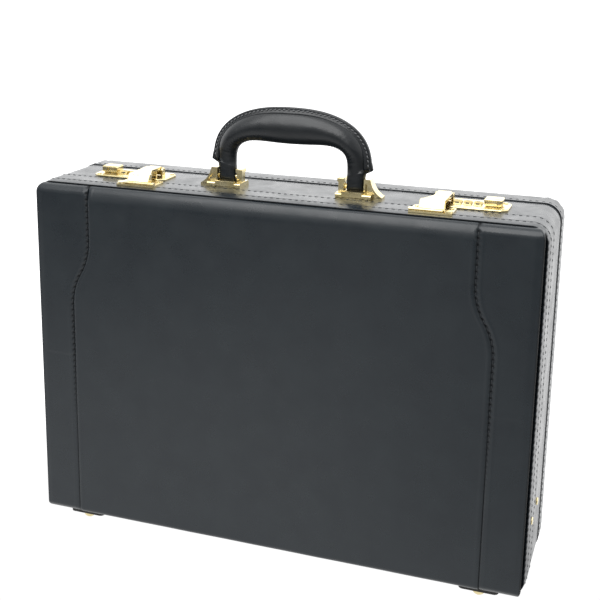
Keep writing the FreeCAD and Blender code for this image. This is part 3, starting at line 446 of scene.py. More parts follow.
def wood(name):
    """Plywood, painted black along its rims and ends."""
    n = Nodes(name)
    grain = n.noise(60, 6, 0.65, (0.15, 6.0, 1.0))
    bare = n.ramp(grain, [(0.3, (0.22, 0.12, 0.055)), (0.55, (0.42, 0.27, 0.14)), (0.75, (0.55, 0.38, 0.22))])
    y = n.axes()[1]
    rim = n.maths("LESS_THAN", n.maths("ABSOLUTE", n.maths("SUBTRACT", y, Y_LID_RIM)), 8 * MM)
    back = n.maths("GREATER_THAN", y, Y_BACK - 16 * MM)
    front = n.maths("LESS_THAN", y, Y_FRONT + 6 * MM)
    painted = n.maths("MINIMUM", n.maths("ADD", rim, n.maths("ADD", back, front)), 1)
    colour = n.mix(painted, bare, (0.010, 0.010, 0.011))
    return n.finish(colour, n.span(grain, 0.5, 0.75), n.bump(grain, 0.1 * MM, 0.7))


def suede(name, dark, light):
    n = Nodes(name)
    nap = n.noise(1400, 4, 0.7)
    patch = n.noise(22, 3)
    tone = n.maths("ADD", n.maths("MULTIPLY", nap, 0.6), n.maths("MULTIPLY", patch, 0.4))
    n.shader.inputs["Sheen Weight"].default_value = 0.35
    n.shader.inputs["Sheen Roughness"].default_value = 0.5
    return n.finish(n.mix(n.span(tone, 0, 1, 0.3, 0.7), dark, light), 0.9, n.bump(nap, 0.12 * MM, 0.8))


def foam_block(name):
    n = Nodes(name)
    holes = n.cells(900)
    colour = n.mix(holes, (0.30, 0.29, 0.27), (0.62, 0.60, 0.55))
    return n.finish(colour, 0.95, n.bump(holes, 0.3 * MM, 0.8))


LEATHER = leather("case_leather", (0.0052, 0.0092, 0.0132), (0.0085, 0.0135, 0.0175), 0.29)
GRIP_LEATHER = leather("grip_leather", (0.0026, 0.0042, 0.0060), (0.0058, 0.0085, 0.0108), 0.31, 1.6)
THREAD = thread("black_thread", (0.003, 0.004, 0.006), (0.014, 0.017, 0.021))
GREY_THREAD = thread("grey_thread", (0.05, 0.052, 0.055), (0.16, 0.165, 0.17))
LINING = suede("lining_suede", (0.020, 0.018, 0.017), (0.050, 0.046, 0.043))
POCKET = leather("pocket_leather", (0.010, 0.010, 0.011), (0.020, 0.020, 0.021), 0.42, crease_shading=False)
FOAM = foam_block("foam")

DRAWN = (0.05, 1.0, 0.05)  # fine marks long in x and z, as the rim was drawn
FINISHES = {"black_rubber": rubber("black_rubber"), "case_leather": LEATHER, "handle_leather": GRIP_LEATHER,
            "pocket_leather": POCKET, "lining": LINING, "foam": FOAM, "plywood": wood("plywood"),
            "gold_brass": polished("gold_plate", (0.66, 0.54, 0.25), (0.80, 0.70, 0.44), 0.17),
            "dial_brass": dial_finish("dial_gold"),
            "rim_metal": polished("rim_metal", (0.70, 0.52, 0.22), (0.86, 0.70, 0.38), 0.28, DRAWN),
            "steel": polished("plated_steel", (0.42, 0.41, 0.40), (0.62, 0.61, 0.60), 0.32)}


# stores the painted crease shade, from 0 to 1, on each point of a mesh
def paint_crease_shade(obj, values):
    attribute = obj.data.attributes.new("crease_shade", "FLOAT", "POINT")
    attribute.data.foreach_set("value", np.asarray(values, np.float32))


def stand_for(obj, body, slot, *nodes):
    """Says which body a piece moves with and which CAD nodes it replaces; slot, what it is made of, is not
    used.
    """
    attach(obj, body)
    if nodes:
        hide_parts(*nodes)


# ---- the padded front
def seam_x(z):
    """Half the width of the middle leather at height z: straight, an S of two tangent arcs, straight."""
    step = SEAM_X_LOW - SEAM_X_TOP
    radius = (step * step / 4 + SEAM_HALF * SEAM_HALF) / step
    up = np.clip(SEAM_Z + SEAM_HALF - z, 0, SEAM_HALF)
    down = np.clip(z - SEAM_Z + SEAM_HALF, 0, SEAM_HALF)
    upper = SEAM_X_TOP + radius - np.sqrt(radius ** 2 - up ** 2)
    lower = SEAM_X_LOW - radius + np.sqrt(radius ** 2 - down ** 2)
    return np.where(z > SEAM_Z, upper, lower)


def corner_radius(z):
    return np.where(z > Z_MIDDLE, PANEL_R_TOP, PANEL_R_LOW)


def panel_edge(x, z):
    """Distances in from the padded front's side and end, and from its rounded corners."""
    side = PANEL_X - np.abs(x)
    end = np.minimum(PANEL[1].z - z, z - PANEL[0].z)
    r = corner_radius(z)
    corner = r - np.hypot(np.clip(r - side, 0, None), np.clip(r - end, 0, None))
    return side, end, np.clip(corner, 0, None)


def roll(distance, width, power=2.0):
    """Height of a rolled edge from 0 at the rim to 1 at that width in."""
    t = np.clip(1 - distance / width, 0, 1)
    return (1 - t ** power) ** (1 / power)


def panel_side_x(z):
    """Half the padded front's width at height z, with its rounded corners."""
    r = corner_radius(z)
    end = np.clip(np.minimum(PANEL[1].z - z, z - PANEL[0].z), 0, r)
    return PANEL_X - r + np.sqrt(r ** 2 - (r - end) ** 2)


def stitch_dents(z, beside):
    """Round dents, 1 deep, at a seam's stitch holes, for places beside the line of holes."""
    phase = (z / SEAM_STITCH) % 1.0
    hole = np.minimum(phase, 1 - phase) * SEAM_STITCH
    return stitch_show(z) * np.exp(-(hole ** 2 + beside ** 2) / HOLE_R ** 2)


def stitch_show(z):
    """How open the seam's stitch holes are: the leather closes over them towards the case's foot."""
    return 0.15 + 0.85 * smoothstep((z - Z_LOW - 80 * MM) / (90 * MM))


def seam_marks(z, away, row, crown, inside):
    """How far a seam lifts the leather this far away, with its holes at row and a swelling at crown, and how
    much painted shade its groove and holes get.
    """
    groove = SEAM_DEPTH * bell(away, SEAM_WIDTH)
    dents = stitch_dents(z, away - row)
    swelling = 0.12 * MM * bell(away - crown, 1.2 * MM)
    # painted shade: a dark line along the seam, stronger where the holes close towards the foot, and dark
    # spots at the stitch holes
    line = (0.85 - 0.5 * stitch_show(z)) * bell(away, 0.5 * MM)
    return swelling - (groove + HOLE_DEPTH * dents) * inside, np.maximum(line, 0.85 * dents)


def middle_height(x, z):
    """How far the middle leather stands out of the lid, and how much painted crease shade it gets."""
    end = panel_edge(x, z)[1]
    top = z > Z_MIDDLE
    width = np.where(top, 15 * MM, 6 * MM)
    wave = 0.10 * bump_noise(x, x * 0, z * 0 + top, 30 * MM)
    lift, crease_shading = seam_marks(z, seam_x(z) - np.abs(x), -SEAM_ROW, 3.4 * MM, roll(end, width))
    return PANEL_PROUD * roll(end, width * (1 + wave), 2.1) + lift, crease_shading


def side_height(x, z):
    """The same for the two side leathers, which are folded flatter, with painted shade along their side
    edges.
    """
    side, end, cut = panel_edge(x, z)
    fold = np.minimum(np.minimum(roll(side, 2.0 * MM), roll(end, 7 * MM)), roll(cut, 2.4 * MM))
    edge = np.minimum(np.minimum(side * 1.5, end), cut)
    height = PANEL_PROUD * (0.93 * fold + 0.07 * smoothstep((edge - 2 * MM) / (7 * MM)))
    height += 0.10 * MM * bell(end - 5.0 * MM, 0.7 * MM) * smoothstep(side / (4 * MM))
    inside = roll(np.minimum(edge, 6 * MM), 6 * MM)
    lift, crease_shading = seam_marks(z, np.abs(x) - seam_x(z), SEAM_ROW, 4.4 * MM, inside)
    # painted shade along the side edges, where they turn in under the padded front
    pressed = 0.95 * (1 - smoothstep((side - 0.8 * MM) / (2.2 * MM)))
    return height + lift, np.maximum(crease_shading, pressed)


def leather_sheet(name, columns, rows, height_of):
    """A skin over the front: a fine grid of columns(z), raised by height_of, and its back."""
    x = np.array([columns(z) for z in rows]).ravel()
    z = np.repeat(rows, len(x) // len(rows))
    height, crease_shading = height_of(x, z)
    wander = 0.12 * MM * bump_noise(x, x * 0, z, 55 * MM)
    height = np.maximum(height + wander * np.clip(height / (4 * MM), 0, 1), LEAST)
    near = np.clip(1 - (PANEL_X - np.abs(x)) / (4 * MM), 0, 1)
    lean = UNDERCUT * near * (1 - np.clip(height / PANEL_PROUD, 0, 1))
    front = np.stack([x - np.sign(x) * lean, Y_FRONT - height, z], 1)
    back = front.copy()
    back[:, 1] = np.minimum(Y_FRONT, Y_FRONT - np.maximum(height - SKIN_T, 0))
    obj = thin_skin(name, front, back, len(rows), LEATHER)
    # painted crease shade on both faces of the skin
    paint_crease_shade(obj, np.concatenate([crease_shading, crease_shading]))
    return obj


def front_leathers():
    """The three leathers of the padded front, meeting at the S seams."""
    rows = spread(PANEL[0].z, PANEL[1].z, 0.55 * MM, 1.1 * MM, 14 * MM)
    wide = spread(-SEAM_X_TOP, SEAM_X_TOP, 0.5 * MM, 3.5 * MM, 6 * MM) / SEAM_X_TOP
    narrow = spread(0, 40 * MM, 0.42 * MM, 1.6 * MM, 7 * MM) / (40 * MM)

    def middle(z):
        return wide * seam_x(z)

    def right(z):
        start, stop = seam_x(z), panel_side_x(z)
        return start + (stop - start) * narrow

    def left(z):
        return -right(z)[::-1]

    parts = (("middle", middle, middle_height), ("right", right, side_height), ("left", left, side_height))
    for part, columns, height_of in parts:
        obj = leather_sheet("front_leather_" + part, columns, rows, height_of)
        stand_for(obj, "lid", "case_leather", "panel_leather_" + part)


def seam_stitches():
    """The stitches of the S seams, from hole to hole."""
    first = math.ceil((PANEL[0].z + 6 * MM) / SEAM_STITCH)
    last = int((PANEL[1].z - 5 * MM) / SEAM_STITCH)
    spots, along, outward = [], [], []
    for sign in (1, -1):
        for i in range(first, last):
            z = (i + 0.5) * SEAM_STITCH
            ahead = seam_x(z + 0.5 * MM) - seam_x(z - 0.5 * MM)
            x = float(seam_x(z)) + SEAM_ROW
            height = float(side_height(x, z)[0])
            sink = (0.12 + 0.5 * (1 - float(stitch_show(z)))) * MM
            spots.append((sign * x, Y_FRONT - height + sink, z))
            along.append((sign * float(ahead), 0, 1 * MM))
            outward.append((0, -1, 0))
    obj = stitches("front_seam_stitches", spots, along, outward, THREAD, length=4.6 * MM, radius=0.36 * MM,
                   sink=1.2)
    stand_for(obj, "lid", "case_leather")


def front_foam():
    """The foam sheet under the front leathers, a little smaller than they are."""
    x1, z0, z1 = PANEL[1].x - FOAM_INSET, PANEL[0].z + FOAM_INSET, PANEL[1].z - FOAM_INSET
    cut = PANEL_R_LOW
    corners = [(x1, z0 + cut), (x1, z1 - cut), (x1 - cut, z1), (-x1 + cut, z1),
               (-x1, z1 - cut), (-x1, z0 + cut), (-x1 + cut, z0), (x1 - cut, z0)]
    verts = [(x, y, z) for y in (Y_FRONT - FOAM_T, Y_FRONT - 0.05 * MM) for x, z in corners]
    faces = [tuple(range(8)), tuple(reversed(range(8, 16)))]
    faces += [(i, (i + 1) % 8, 8 + (i + 1) % 8, 8 + i) for i in range(8)]
    obj = closed_mesh("front_foam", verts, faces, FOAM, False)
    stand_for(obj, "lid", "foam", "panel_foam")


# ---- the leather bands
def row_dent(row, depth, reach):
    """Extra inset where a stitch row pulls the leather in, deepest at each stitch."""

    def dent(y, run, total, inset):
        count = round(total / STITCH)
        beat = 0.55 + 0.45 * np.cos(2 * math.pi * (run / total * count))
        return depth * beat * bell(y - row, reach)

    return dent


def lid_leather():
    """The lid's band: it slopes down to the front, turns over the board's edge and dips into the crevice."""
    crest, low = BAND_INSET - 0.3 * MM, BAND_INSET + 0.62 * MM
    under = BAND_INSET + BAND_T
    f, r = Y_FRONT, Y_LID_RIM
    slope = 8.0
    profile = steps_from(f, 0, [(-0.1, 3.4), (-0.35, 2.5), (-0.75, 1.95), (-0.9, 1.6), (-0.65, 1.2)])
    profile += [(f + 0.1 * MM, low)]
    for k in (1.0, 2.2, 3.4, 4.6, 5.8, 6.9):
        profile.append((f + k * MM, crest + (low - crest) * (1 - k / slope) ** 1.2))
    profile += [(f + (slope + 0.6 * k) * MM, crest) for k in range(-1, 8)]
    profile += [(r - k * MM, crest) for k in (14, 9, 5, 3.2, 2.6, 2.0, 1.4, 0.8, 0.35)]
    profile += [(r - 0.08 * MM, crest + 0.3 * MM), (r, BAND_INSET + 0.5 * MM), (r, under)]
    profile += [(r - 5 * MM, under), (f + 1 * MM, under), (f + 0.02 * MM, under), (f + 0.02 * MM, 3.4 * MM)]
    front_row = row_dent(ROW_FRONT, 0.42 * MM, 1.3 * MM)
    rim_row = row_dent(ROW_RIM, 0.2 * MM, 0.9 * MM)

    def dent(y, run, total, inset):
        if inset > low + 0.05 * MM or y > Y_LID_RIM - 0.05 * MM:
            return 0
        return front_row(y, run, total, inset) + rim_row(y, run, total, inset)

    obj = ring_skin("lid_leather", profile, LEATHER, 0.9 * MM, dent)
    paint_lid_crevice_shade(obj)
    stand_for(obj, "lid", "case_leather", "lid_band")
    outline(0, 1 * MM)[3]
    for name, row in (("lid_stitches_front", ROW_FRONT), ("lid_stitches_rim", ROW_RIM)):
        band_stitches(name, row, crest + 0.2 * MM, "lid")


def paint_lid_crevice_shade(obj):
    """Paints shade into the crevice beside the padded front, in scallops down the case's sides."""
    verts = np.array([v.co for v in obj.data.vertices])
    pulled = 0.5 + 0.5 * np.cos(2 * math.pi * verts[:, 2] / STITCH)
    pulled = np.where(np.abs(verts[:, 0]) > X_HALF - 8 * MM, 0.2 + 0.8 * pulled, 1)
    lip = smoothstep((Y_FRONT - 0.3 * MM - verts[:, 1]) / (0.5 * MM))
    slope = smoothstep((Y_FRONT + 2.6 * MM - verts[:, 1]) / (1.2 * MM))
    between = (pulled > 0.6) * (pulled < 0.999)
    # painted shade: near black in the crevice, lighter on the slope beside it
    paint_crease_shade(obj, np.maximum(0.9 * lip * pulled, 0.55 * slope * between))


def band_stitches(name, y, inset, body):
    """A row of stitches round the case."""
    spots, outward, along = rail_points(inset, STITCH)
    rows = [[(a, 0, c) for a, c in directions] for directions in (along, outward)]
    obj = stitches(name, [(x, y, z) for x, z in spots], *rows, THREAD, length=STITCH_LEN, slant=0.10)
    stand_for(obj, body, "case_leather")


def body_leather():
    """The body's band, with openings for the two lock housings."""
    b = BAND_INSET
    f, r = Y_BODY_RIM, Y_BINDING + 3 * MM
    profile = [(f, b + BAND_T), (f, b + 0.5 * MM), (f + 0.08 * MM, b + 0.2 * MM), (f + 0.35 * MM, b)]
    profile += [(f + k * MM, b) for k in (1, 3, 6, 12, 20, 28, 36, 44)]
    profile += [(r, b), (r, b + BAND_T)]
    obj = ring_skin("body_leather", profile, LEATHER, 3 * MM)
    for side in ("right", "left"):
        low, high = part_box("lock_housing_" + side)
        cut_box(obj, low - Vector((0.2, 0.2, 2)) * MM, high + Vector((0.2, 0.2, 3)) * MM)
    stand_for(obj, "case_body", "case_leather", "body_band")
    outline(0, 1 * MM)[3]


def binding_leather():
    """The binding round the back edge: a cut front edge, a stitch row and a rolled, pleated rear edge."""
    f, r = Y_BINDING, Y_BACK
    half_z = (Z_HIGH - Z_LOW) / 2
    profile = steps_from(f, 0, [(0.1, 1.1), (0, 0.5), (0.05, 0.12), (0.3, -0.25)])
    profile += steps_from(f, 0, [(k, -0.35) for k in (1, 2.2, 3.2, 4.1, 5.0, 5.9, 6.8, 8, 10, 13, 16, 19)])
    profile += steps_from(r, 0, [(-4.5, -0.3), (-2.6, 0.1), (-1.2, 0.7), (-0.2, 1.6), (0.35, 2.6)])
    profile += steps_from(r, 0, [(0.4, 3.6), (0.02, 4.2), (-0.4, 1.19), (-12, 1.19)])
    row = row_dent(ROW_BINDING, 0.2 * MM, 1.0 * MM)

    def dent(y, run, total, inset):
        if inset > 1.15 * MM and y < r - 0.3 * MM:
            return 0
        x, z = outline(0, 0.9 * MM)[0].T
        corner = smoothstep((np.hypot(np.abs(x) / X_HALF, np.abs(z - Z_MIDDLE) / half_z) - 1.33) / 0.04)
        pleat = 0.30 * MM * np.sin(run / (1.35 * MM)) * corner * bell(y - r, 9 * MM)
        wave = 0.12 * MM * bump_noise(x, x * 0 + y * 0.3, z, 26 * MM)
        return row(y, run, total, inset) + pleat + wave

    obj = ring_skin("binding_leather", profile, LEATHER, 0.9 * MM, dent)
    verts = np.array([v.co for v in obj.data.vertices])
    # painted shade along the binding's cut front edge, where it overlaps the band
    paint_crease_shade(obj, 0.9 * (verts[:, 1] < Y_BINDING + 0.15 * MM))
    stand_for(obj, "case_body", "case_leather", "back_binding")
    outline(0, 1 * MM)[3]
    band_stitches("binding_stitches", ROW_BINDING, -0.1 * MM, "case_body")


def back_leather():
    """The padded leather over the back board."""
    low, high = COVER
    rows = spread(low.z, high.z, 0.6 * MM, 4 * MM, 12 * MM)
    cols = spread(low.x, high.x, 0.6 * MM, 4 * MM, 12 * MM)
    x, z = [a.ravel() for a in np.meshgrid(cols, rows)]
    centre = Vector(((low.x + high.x) / 2, 0, (low.z + high.z) / 2))
    qx = np.abs(x - centre.x) - ((high.x - low.x) / 2 - COVER_R)
    qz = np.abs(z - centre.z) - ((high.z - low.z) / 2 - COVER_R)
    inside = COVER_R - np.hypot(np.maximum(qx, 0), np.maximum(qz, 0)) - np.minimum(np.maximum(qx, qz), 0)
    pull = np.minimum(inside, 0)
    gx, gz = np.sign(x - centre.x) * np.maximum(qx, 0), np.sign(z - centre.z) * np.maximum(qz, 0)
    length = np.maximum(np.hypot(gx, gz), 1e-9)
    x, z = x + pull * gx / length, z + pull * gz / length
    height = (high.y - low.y) * roll(np.maximum(inside, 0), 7 * MM)
    height += 0.15 * MM * bump_noise(x, x * 0 + 3, z, 60 * MM) * roll(np.maximum(inside, 0), 20 * MM)
    height = np.clip(height, LEAST, None)
    front = np.stack([x, low.y + height, z], 1)
    back = np.stack([x, low.y + np.maximum(height - SKIN_T, 0), z], 1)
    obj = thin_skin("back_leather", front, back, len(rows), LEATHER)
    stand_for(obj, "case_body", "case_leather", "back_cover")


# ---- the handle
PIN_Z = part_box("handle_pins")[1].z - 2 * MM
LEG_IN, LEG_OUT = 50.2 * MM, 65.4 * MM
LEG_FLARE = 2.4 * MM  # how much the legs widen up to the arch
LEG_HALF = 4.95 * MM  # half the legs' depth, which lets them swing over the rivets
LEG_FOOT = PIN_Z - 4.8 * MM
SPRING_IN, SPRING_OUT = Z_HIGH + 18.5 * MM, Z_HIGH + 23.5 * MM
ARCH_IN = Z_HIGH + 42.6 * MM
BELLY = 2.0 * MM  # how far the middle of the grip hangs into the arch
LEG_STEPS, ARCH_STEPS, GRIP_SIDES = 24, 120, 44
LIP_X = GRIP[1].x - 0.5 * MM
FLANGE = 3.8 * MM  # the flange stands this far out of the tube
FLANGE_T = 4.4 * MM  # half its thickness inside the tube
FLANGE_SHAPE = [(0, 1.0), (0.3, 0.78), (0.5, 0.5), (0.62, 0.44),
                (0.8, 0.5), (0.93, 0.42), (0.99, 0.26), (1.0, 0.08)]
FLANGE_STITCH = 4.0 * MM
FLANGE_ROW = 2.5 * MM


def boxy(share, power):
    """A circle's sine or cosine, made a superellipse's."""
    return math.copysign(abs(share) ** (2 / power), share)


def arch_point(t, half_width, spring, top, power):
    """A superellipse standing on two legs: t from 0 at the right leg to 1 at the left."""
    x = half_width * boxy(math.cos(math.pi * t), power)
    return Vector((x, 0, spring + (top - spring) * abs(boxy(math.sin(math.pi * t), power))))


def mirrored(point):
    return Vector((-point.x, 0, point.z))


def grip_stations():
    """Sections from the right leg's foot to the left one's: inner edge, outer edge of tube and of flange."""
    legs, arch = [], []
    for k in range(LEG_STEPS):
        share = k / LEG_STEPS
        inner = Vector((LEG_IN, 0, LEG_FOOT + (SPRING_IN - LEG_FOOT) * share))
        outer = Vector((LEG_OUT + LEG_FLARE * share ** 3, 0, LEG_FOOT + (SPRING_OUT - LEG_FOOT) * share))
        legs.append((inner, outer, None))
    for k in range(ARCH_STEPS + 1):
        t = k / ARCH_STEPS
        inner = arch_point(t, LEG_IN, SPRING_IN, ARCH_IN, 4.4)
        inner.z -= BELLY * max(0.0, 1 - (inner.x / (40 * MM)) ** 2) ** 1.5
        lip = arch_point(t, LIP_X, SPRING_OUT, GRIP[1].z, 2.4)
        toward = (inner - lip).normalized()
        arch.append((inner, lip + toward * FLANGE, lip))
    return legs + arch + [(mirrored(a), mirrored(b), None) for a, b, c in reversed(legs)]


def grip_section(inner, outer, depth, power):
    """One rounded cross-section of the tube: points, their y, and their shares of its width and depth."""
    middle, reach = (inner + outer) / 2, (outer - inner) / 2
    section = []
    for k in range(GRIP_SIDES):
        a = 2 * math.pi * k / GRIP_SIDES
        u, v = boxy(math.cos(a), power), boxy(math.sin(a), power)
        section.append((middle + reach * u, depth * v, u, v))
    return section


def grip_depth(height):
    """Half the tube's depth at a height: slim legs with a round foot, and the full grip above."""
    if height < PIN_Z:
        return math.sqrt(LEG_HALF ** 2 - (PIN_Z - height) ** 2)
    rise = float(smoothstep((height - Z_HIGH - 20 * MM) / (27 * MM)))
    return LEG_HALF + ((GRIP[1].y - GRIP[0].y) / 2 - LEG_HALF) * rise


def handle_leather():
    """The padded tube of the grip, its flat seam flange and the stitches along it."""
    stations = grip_stations()
    verts = []
    for i, (inner, outer, lip) in enumerate(stations):
        depth = grip_depth((inner.z + outer.z) / 2)
        power = 2.2 if lip is not None else 2.7
        bend = bell(abs(inner.x) - 44 * MM, 9 * MM) * (lip is not None)
        for point, y, u, v in grip_section(inner, outer, depth, power):
            taper = 1 - 0.30 * max(0.0, u) ** 2 if lip is not None else 1
            fold = 0.22 * MM * math.sin(i * 1.9) * bend * max(0.0, -u + 0.3)
            wrinkle = 0.16 * MM * noise.noise(Vector((i * 0.31, u * 1.5, v * 1.5))) + fold
            verts.append((point.x, GRIP_Y + (y + wrinkle * v) * taper, point.z + fold * u))
    tube = lofted("handle_leather", verts, len(stations), GRIP_SIDES)
    cut_pin_holes(tube)
    stand_for(tube, "handle", "handle_leather", "handle_grip")
    arch = [s for s in stations if s[2] is not None]
    stand_for(seam_flange(arch), "handle", "handle_leather")
    flange_stitches(arch)


def lofted(name, verts, rows, ring):
    """A closed skin over rings of points, with a face across each end."""
    faces = grid_faces(rows, ring, False, True)
    faces.append(tuple(range(ring)))
    faces.append(tuple(len(verts) - 1 - k for k in range(ring)))
    return closed_mesh(name, verts, faces, GRIP_LEATHER)


def cut_pin_holes(obj):
    bpy.ops.mesh.primitive_cylinder_add(vertices=32, radius=2.2 * MM, depth=200 * MM,
                                        location=(0, GRIP_Y, PIN_Z), rotation=(0, math.pi / 2, 0))
    cut_away(obj, bpy.context.active_object)


def seam_flange(stations):
    """Two leather edges pressed together along the outside of the grip, tapering off below each end."""
    lines = [(outer + (inner - outer).normalized() * 2.0 * MM, lip) for inner, outer, lip in stations]
    for k in range(5):
        flare = Vector((0.35 * MM * (4 - k), 0, 0))
        lines[k] = (lines[k][0], lines[k][1] + flare)
        lines[-1 - k] = (lines[-1 - k][0], lines[-1 - k][1] - flare)
    foot = lines[0][1].z
    tail = [(-0.9, 0.4), (-2.2, -2.2), (-3.4, -4.6), (-4.6, -5.9), (-9.0, -6.3), (-14.0, -6.5)]
    right = [(Vector((LEG_OUT - 3 * MM, 0, foot + dz * MM)), Vector((LIP_X + dx * MM, 0, foot + dz * MM)))
             for dz, dx in tail]
    lines = right[::-1] + lines + [(mirrored(a), mirrored(b)) for a, b in right]
    shape = FLANGE_SHAPE + [(u, -h) for u, h in reversed(FLANGE_SHAPE)]
    verts = []
    for i, (root, lip) in enumerate(lines):
        wave = 0.3 * MM * noise.noise(Vector((i * 0.33, 0, 0)))
        for u, h in shape:
            point = root + (lip - root) * u
            verts.append((point.x, GRIP_Y + h * FLANGE_T + wave * u, point.z))
    return lofted("handle_seam", verts, len(lines), len(shape))


def flange_stitches(stations):
    """The stitches on both sides of the flange, a little inside its lip."""
    lips = np.array([(s[2].x, s[2].z) for s in stations])
    inward = np.array([tuple((s[0] - s[2]).normalized().xz) for s in stations])
    run = np.concatenate([[0], np.cumsum(np.linalg.norm(np.diff(lips, axis=0), axis=1))])

    def at(curve, s):
        return [float(np.interp(s, run, curve[:, k])) for k in (0, 1)]

    spots, along, outward = [], [], []
    for side in (-1, 1):
        for s in np.arange(FLANGE_STITCH, run[-1] - FLANGE_STITCH / 2, FLANGE_STITCH):
            (x, z), (ix, iz), back = at(lips, s), at(inward, s), at(lips, s - MM)
            spots.append((x + ix * FLANGE_ROW, GRIP_Y + side * 2.15 * MM, z + iz * FLANGE_ROW))
            along.append(Vector((x - back[0], 0, z - back[1])).normalized())
            outward.append((0, side, 0))
    obj = stitches("handle_stitches", spots, along, outward, GREY_THREAD, length=2.8 * MM, radius=0.54 * MM,
                   slant=0.25)
    stand_for(obj, "handle", "handle_leather")


# ---- inside
def lining(name, node, open_y, wall_y, body):
    """The cloth lining of one half: a wall round the frame and a sheet over the board."""
    inset = X_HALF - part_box(node)[1].x + 0.08 * MM
    ys = np.linspace(open_y, wall_y, 14)
    profile = [(y, inset) for y in ys] + [(y, inset + CLOTH_T) for y in ys[::-1]]

    def slack(y, run, total, depth):
        if depth < inset + CLOTH_T / 2:
            return 0
        wave = 0.10 * MM * np.sin(run / (9 * MM)) * math.sin(math.pi * (y - open_y) / (wall_y - open_y))
        return np.clip(wave, -0.08 * MM, None)

    wall = ring_skin(name + "_wall", profile, LINING, 3 * MM, slack)
    if body == "case_body":
        lining_openings(wall)
    stand_for(wall, body, "lining", node)
    outline(inset, 1 * MM)[3]
    lining_sheet(name + "_sheet", body, inset + CLOTH_T, wall_y, 1 if open_y > wall_y else -1)


def lining_openings(wall):
    """Cuts the openings for the lock housings and the handle's backing plates."""
    room = Vector((0.3, 0.3, 5)) * MM
    for side, centre in (("right", PLATE_X), ("left", -PLATE_X)):
        low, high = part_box("lock_housing_" + side)
        cut_box(wall, low - room, high + room)
        low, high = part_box("handle_backing_plates")
        cut_box(wall, Vector((centre - PLATE_HALF, low.y - 0.5 * MM, low.z - 4 * MM)),
                Vector((centre + PLATE_HALF, high.y + 0.5 * MM, high.z + 4 * MM)))


def lining_sheet(name, body, inset, y, toward):
    """The cloth over a board, slightly puffed along its edges; toward is the open side, 1 or -1."""
    rows = spread(Z_LOW + inset, Z_HIGH - inset, MM, 6 * MM, 10 * MM)
    cols = spread(-X_HALF + inset, X_HALF - inset, MM, 6 * MM, 10 * MM)
    x, z = [grid.ravel() for grid in np.meshgrid(cols, rows)]
    edge = np.minimum(cols[-1] - np.abs(x), np.minimum(z - rows[0], rows[-1] - z))
    puff = 0.25 * MM * bell(edge - 3 * MM, 2 * MM)
    puff += 0.12 * MM * bump_noise(x, x * 0, z, 70 * MM)
    front = y + toward * (CLOTH_T + np.clip(puff, -0.1 * MM, None))
    back = x * 0 + y + toward * 0.05 * MM
    sheet = thin_skin(name, np.stack([x, front, z], 1), np.stack([x, back, z], 1), len(rows), LINING)
    stand_for(sheet, body, "lining")


def file_pocket():
    """A leather file pocket on the lid's lining: a folded hem along its open top, stitched sides and foot."""
    low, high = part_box("file_pocket")
    rows = np.concatenate([spread(low.z, high.z - 12 * MM, MM, 5 * MM, 8 * MM),
                           high.z + np.arange(-11, 0.5, 1.0) * MM])
    cols = spread(low.x, high.x, MM, 5 * MM, 10 * MM)
    x, z = [grid.ravel() for grid in np.meshgrid(cols, rows)]
    edge = np.minimum(np.minimum(x - low.x, high.x - x), z - low.z)
    hem = high.z - z
    depth = high.y - low.y
    face = depth * (0.42 + 0.50 * smoothstep((edge - POCKET_ROW) / (9 * MM)))
    face -= 0.35 * MM * bell(edge - POCKET_ROW, 0.8 * MM)
    face += 0.22 * MM * (hem < 9.5 * MM) - 0.3 * MM * bell(hem - HEM_ROW, 0.7 * MM)
    face += 0.18 * MM * bump_noise(x, x * 0 + 1, z, 45 * MM) * smoothstep(edge / (20 * MM))
    face = np.clip(face, 0.6 * MM, depth)
    back = np.where(edge < 6 * MM, 0.05 * MM, np.maximum(face - 1.3 * MM, 0.05 * MM))
    grids = [np.stack([x, low.y + away, z], 1) for away in (face, back)]
    pocket = thin_skin("pocket_leather_sheet", *grids, len(rows), POCKET)
    stand_for(pocket, "lid", "pocket_leather", "file_pocket")
    pocket_stitches(low, high)


def pocket_stitches(low, high):
    """The stitches round the pocket's foot and sides, and along its hem."""
    y_row = low.y + (high.y - low.y) * 0.42 - 0.15 * MM
    y_hem = low.y + (high.y - low.y) * 0.92
    spots, along = [], []
    for k in range(int((high.x - low.x - 10 * MM) / STITCH)):
        at = low.x + 5 * MM + (k + 0.5) * STITCH
        spots += [(at, y_row, low.z + POCKET_ROW), (at, y_hem, high.z - HEM_ROW)]
        along += [(1, 0, 0)] * 2
    for k in range(int((high.z - low.z - 12 * MM) / STITCH)):
        at = low.z + 6 * MM + (k + 0.5) * STITCH
        spots += [(low.x + POCKET_ROW, y_row, at), (high.x - POCKET_ROW, y_row, at)]
        along += [(0, 0, 1)] * 2
    outward = [(0, 1, 0)] * len(spots)
    stand_for(stitches("pocket_stitches", spots, along, outward, GREY_THREAD), "lid", "pocket_leather")


def cad_materials():
    """Gives each CAD node its finish, and welds the metal and rubber ones and eases their edges."""
    eased = {"gold_brass": 0.28, "dial_brass": 0.2, "steel": 0.15, "rim_metal": 0.2, "black_rubber": 0.5}
    for name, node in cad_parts.items():
        slot = node_slot(name)
        node.data.materials.clear()
        node.data.materials.append(FINISHES[slot])
        if slot in eased:
            weld = node.modifiers.new("weld", "WELD")
            weld.merge_threshold = 0.002 * MM
            bevel = node.modifiers.new("edges", "BEVEL")
            bevel.width = eased[slot] * MM
            bevel.segments = 2
            bevel.limit_method = "ANGLE"
            bevel.angle_limit = math.radians(40)
            node.modifiers.new("flat_faces", "WEIGHTED_NORMAL").keep_sharp = True
            node.data.polygons.foreach_set("use_smooth", [True] * len(node.data.polygons))


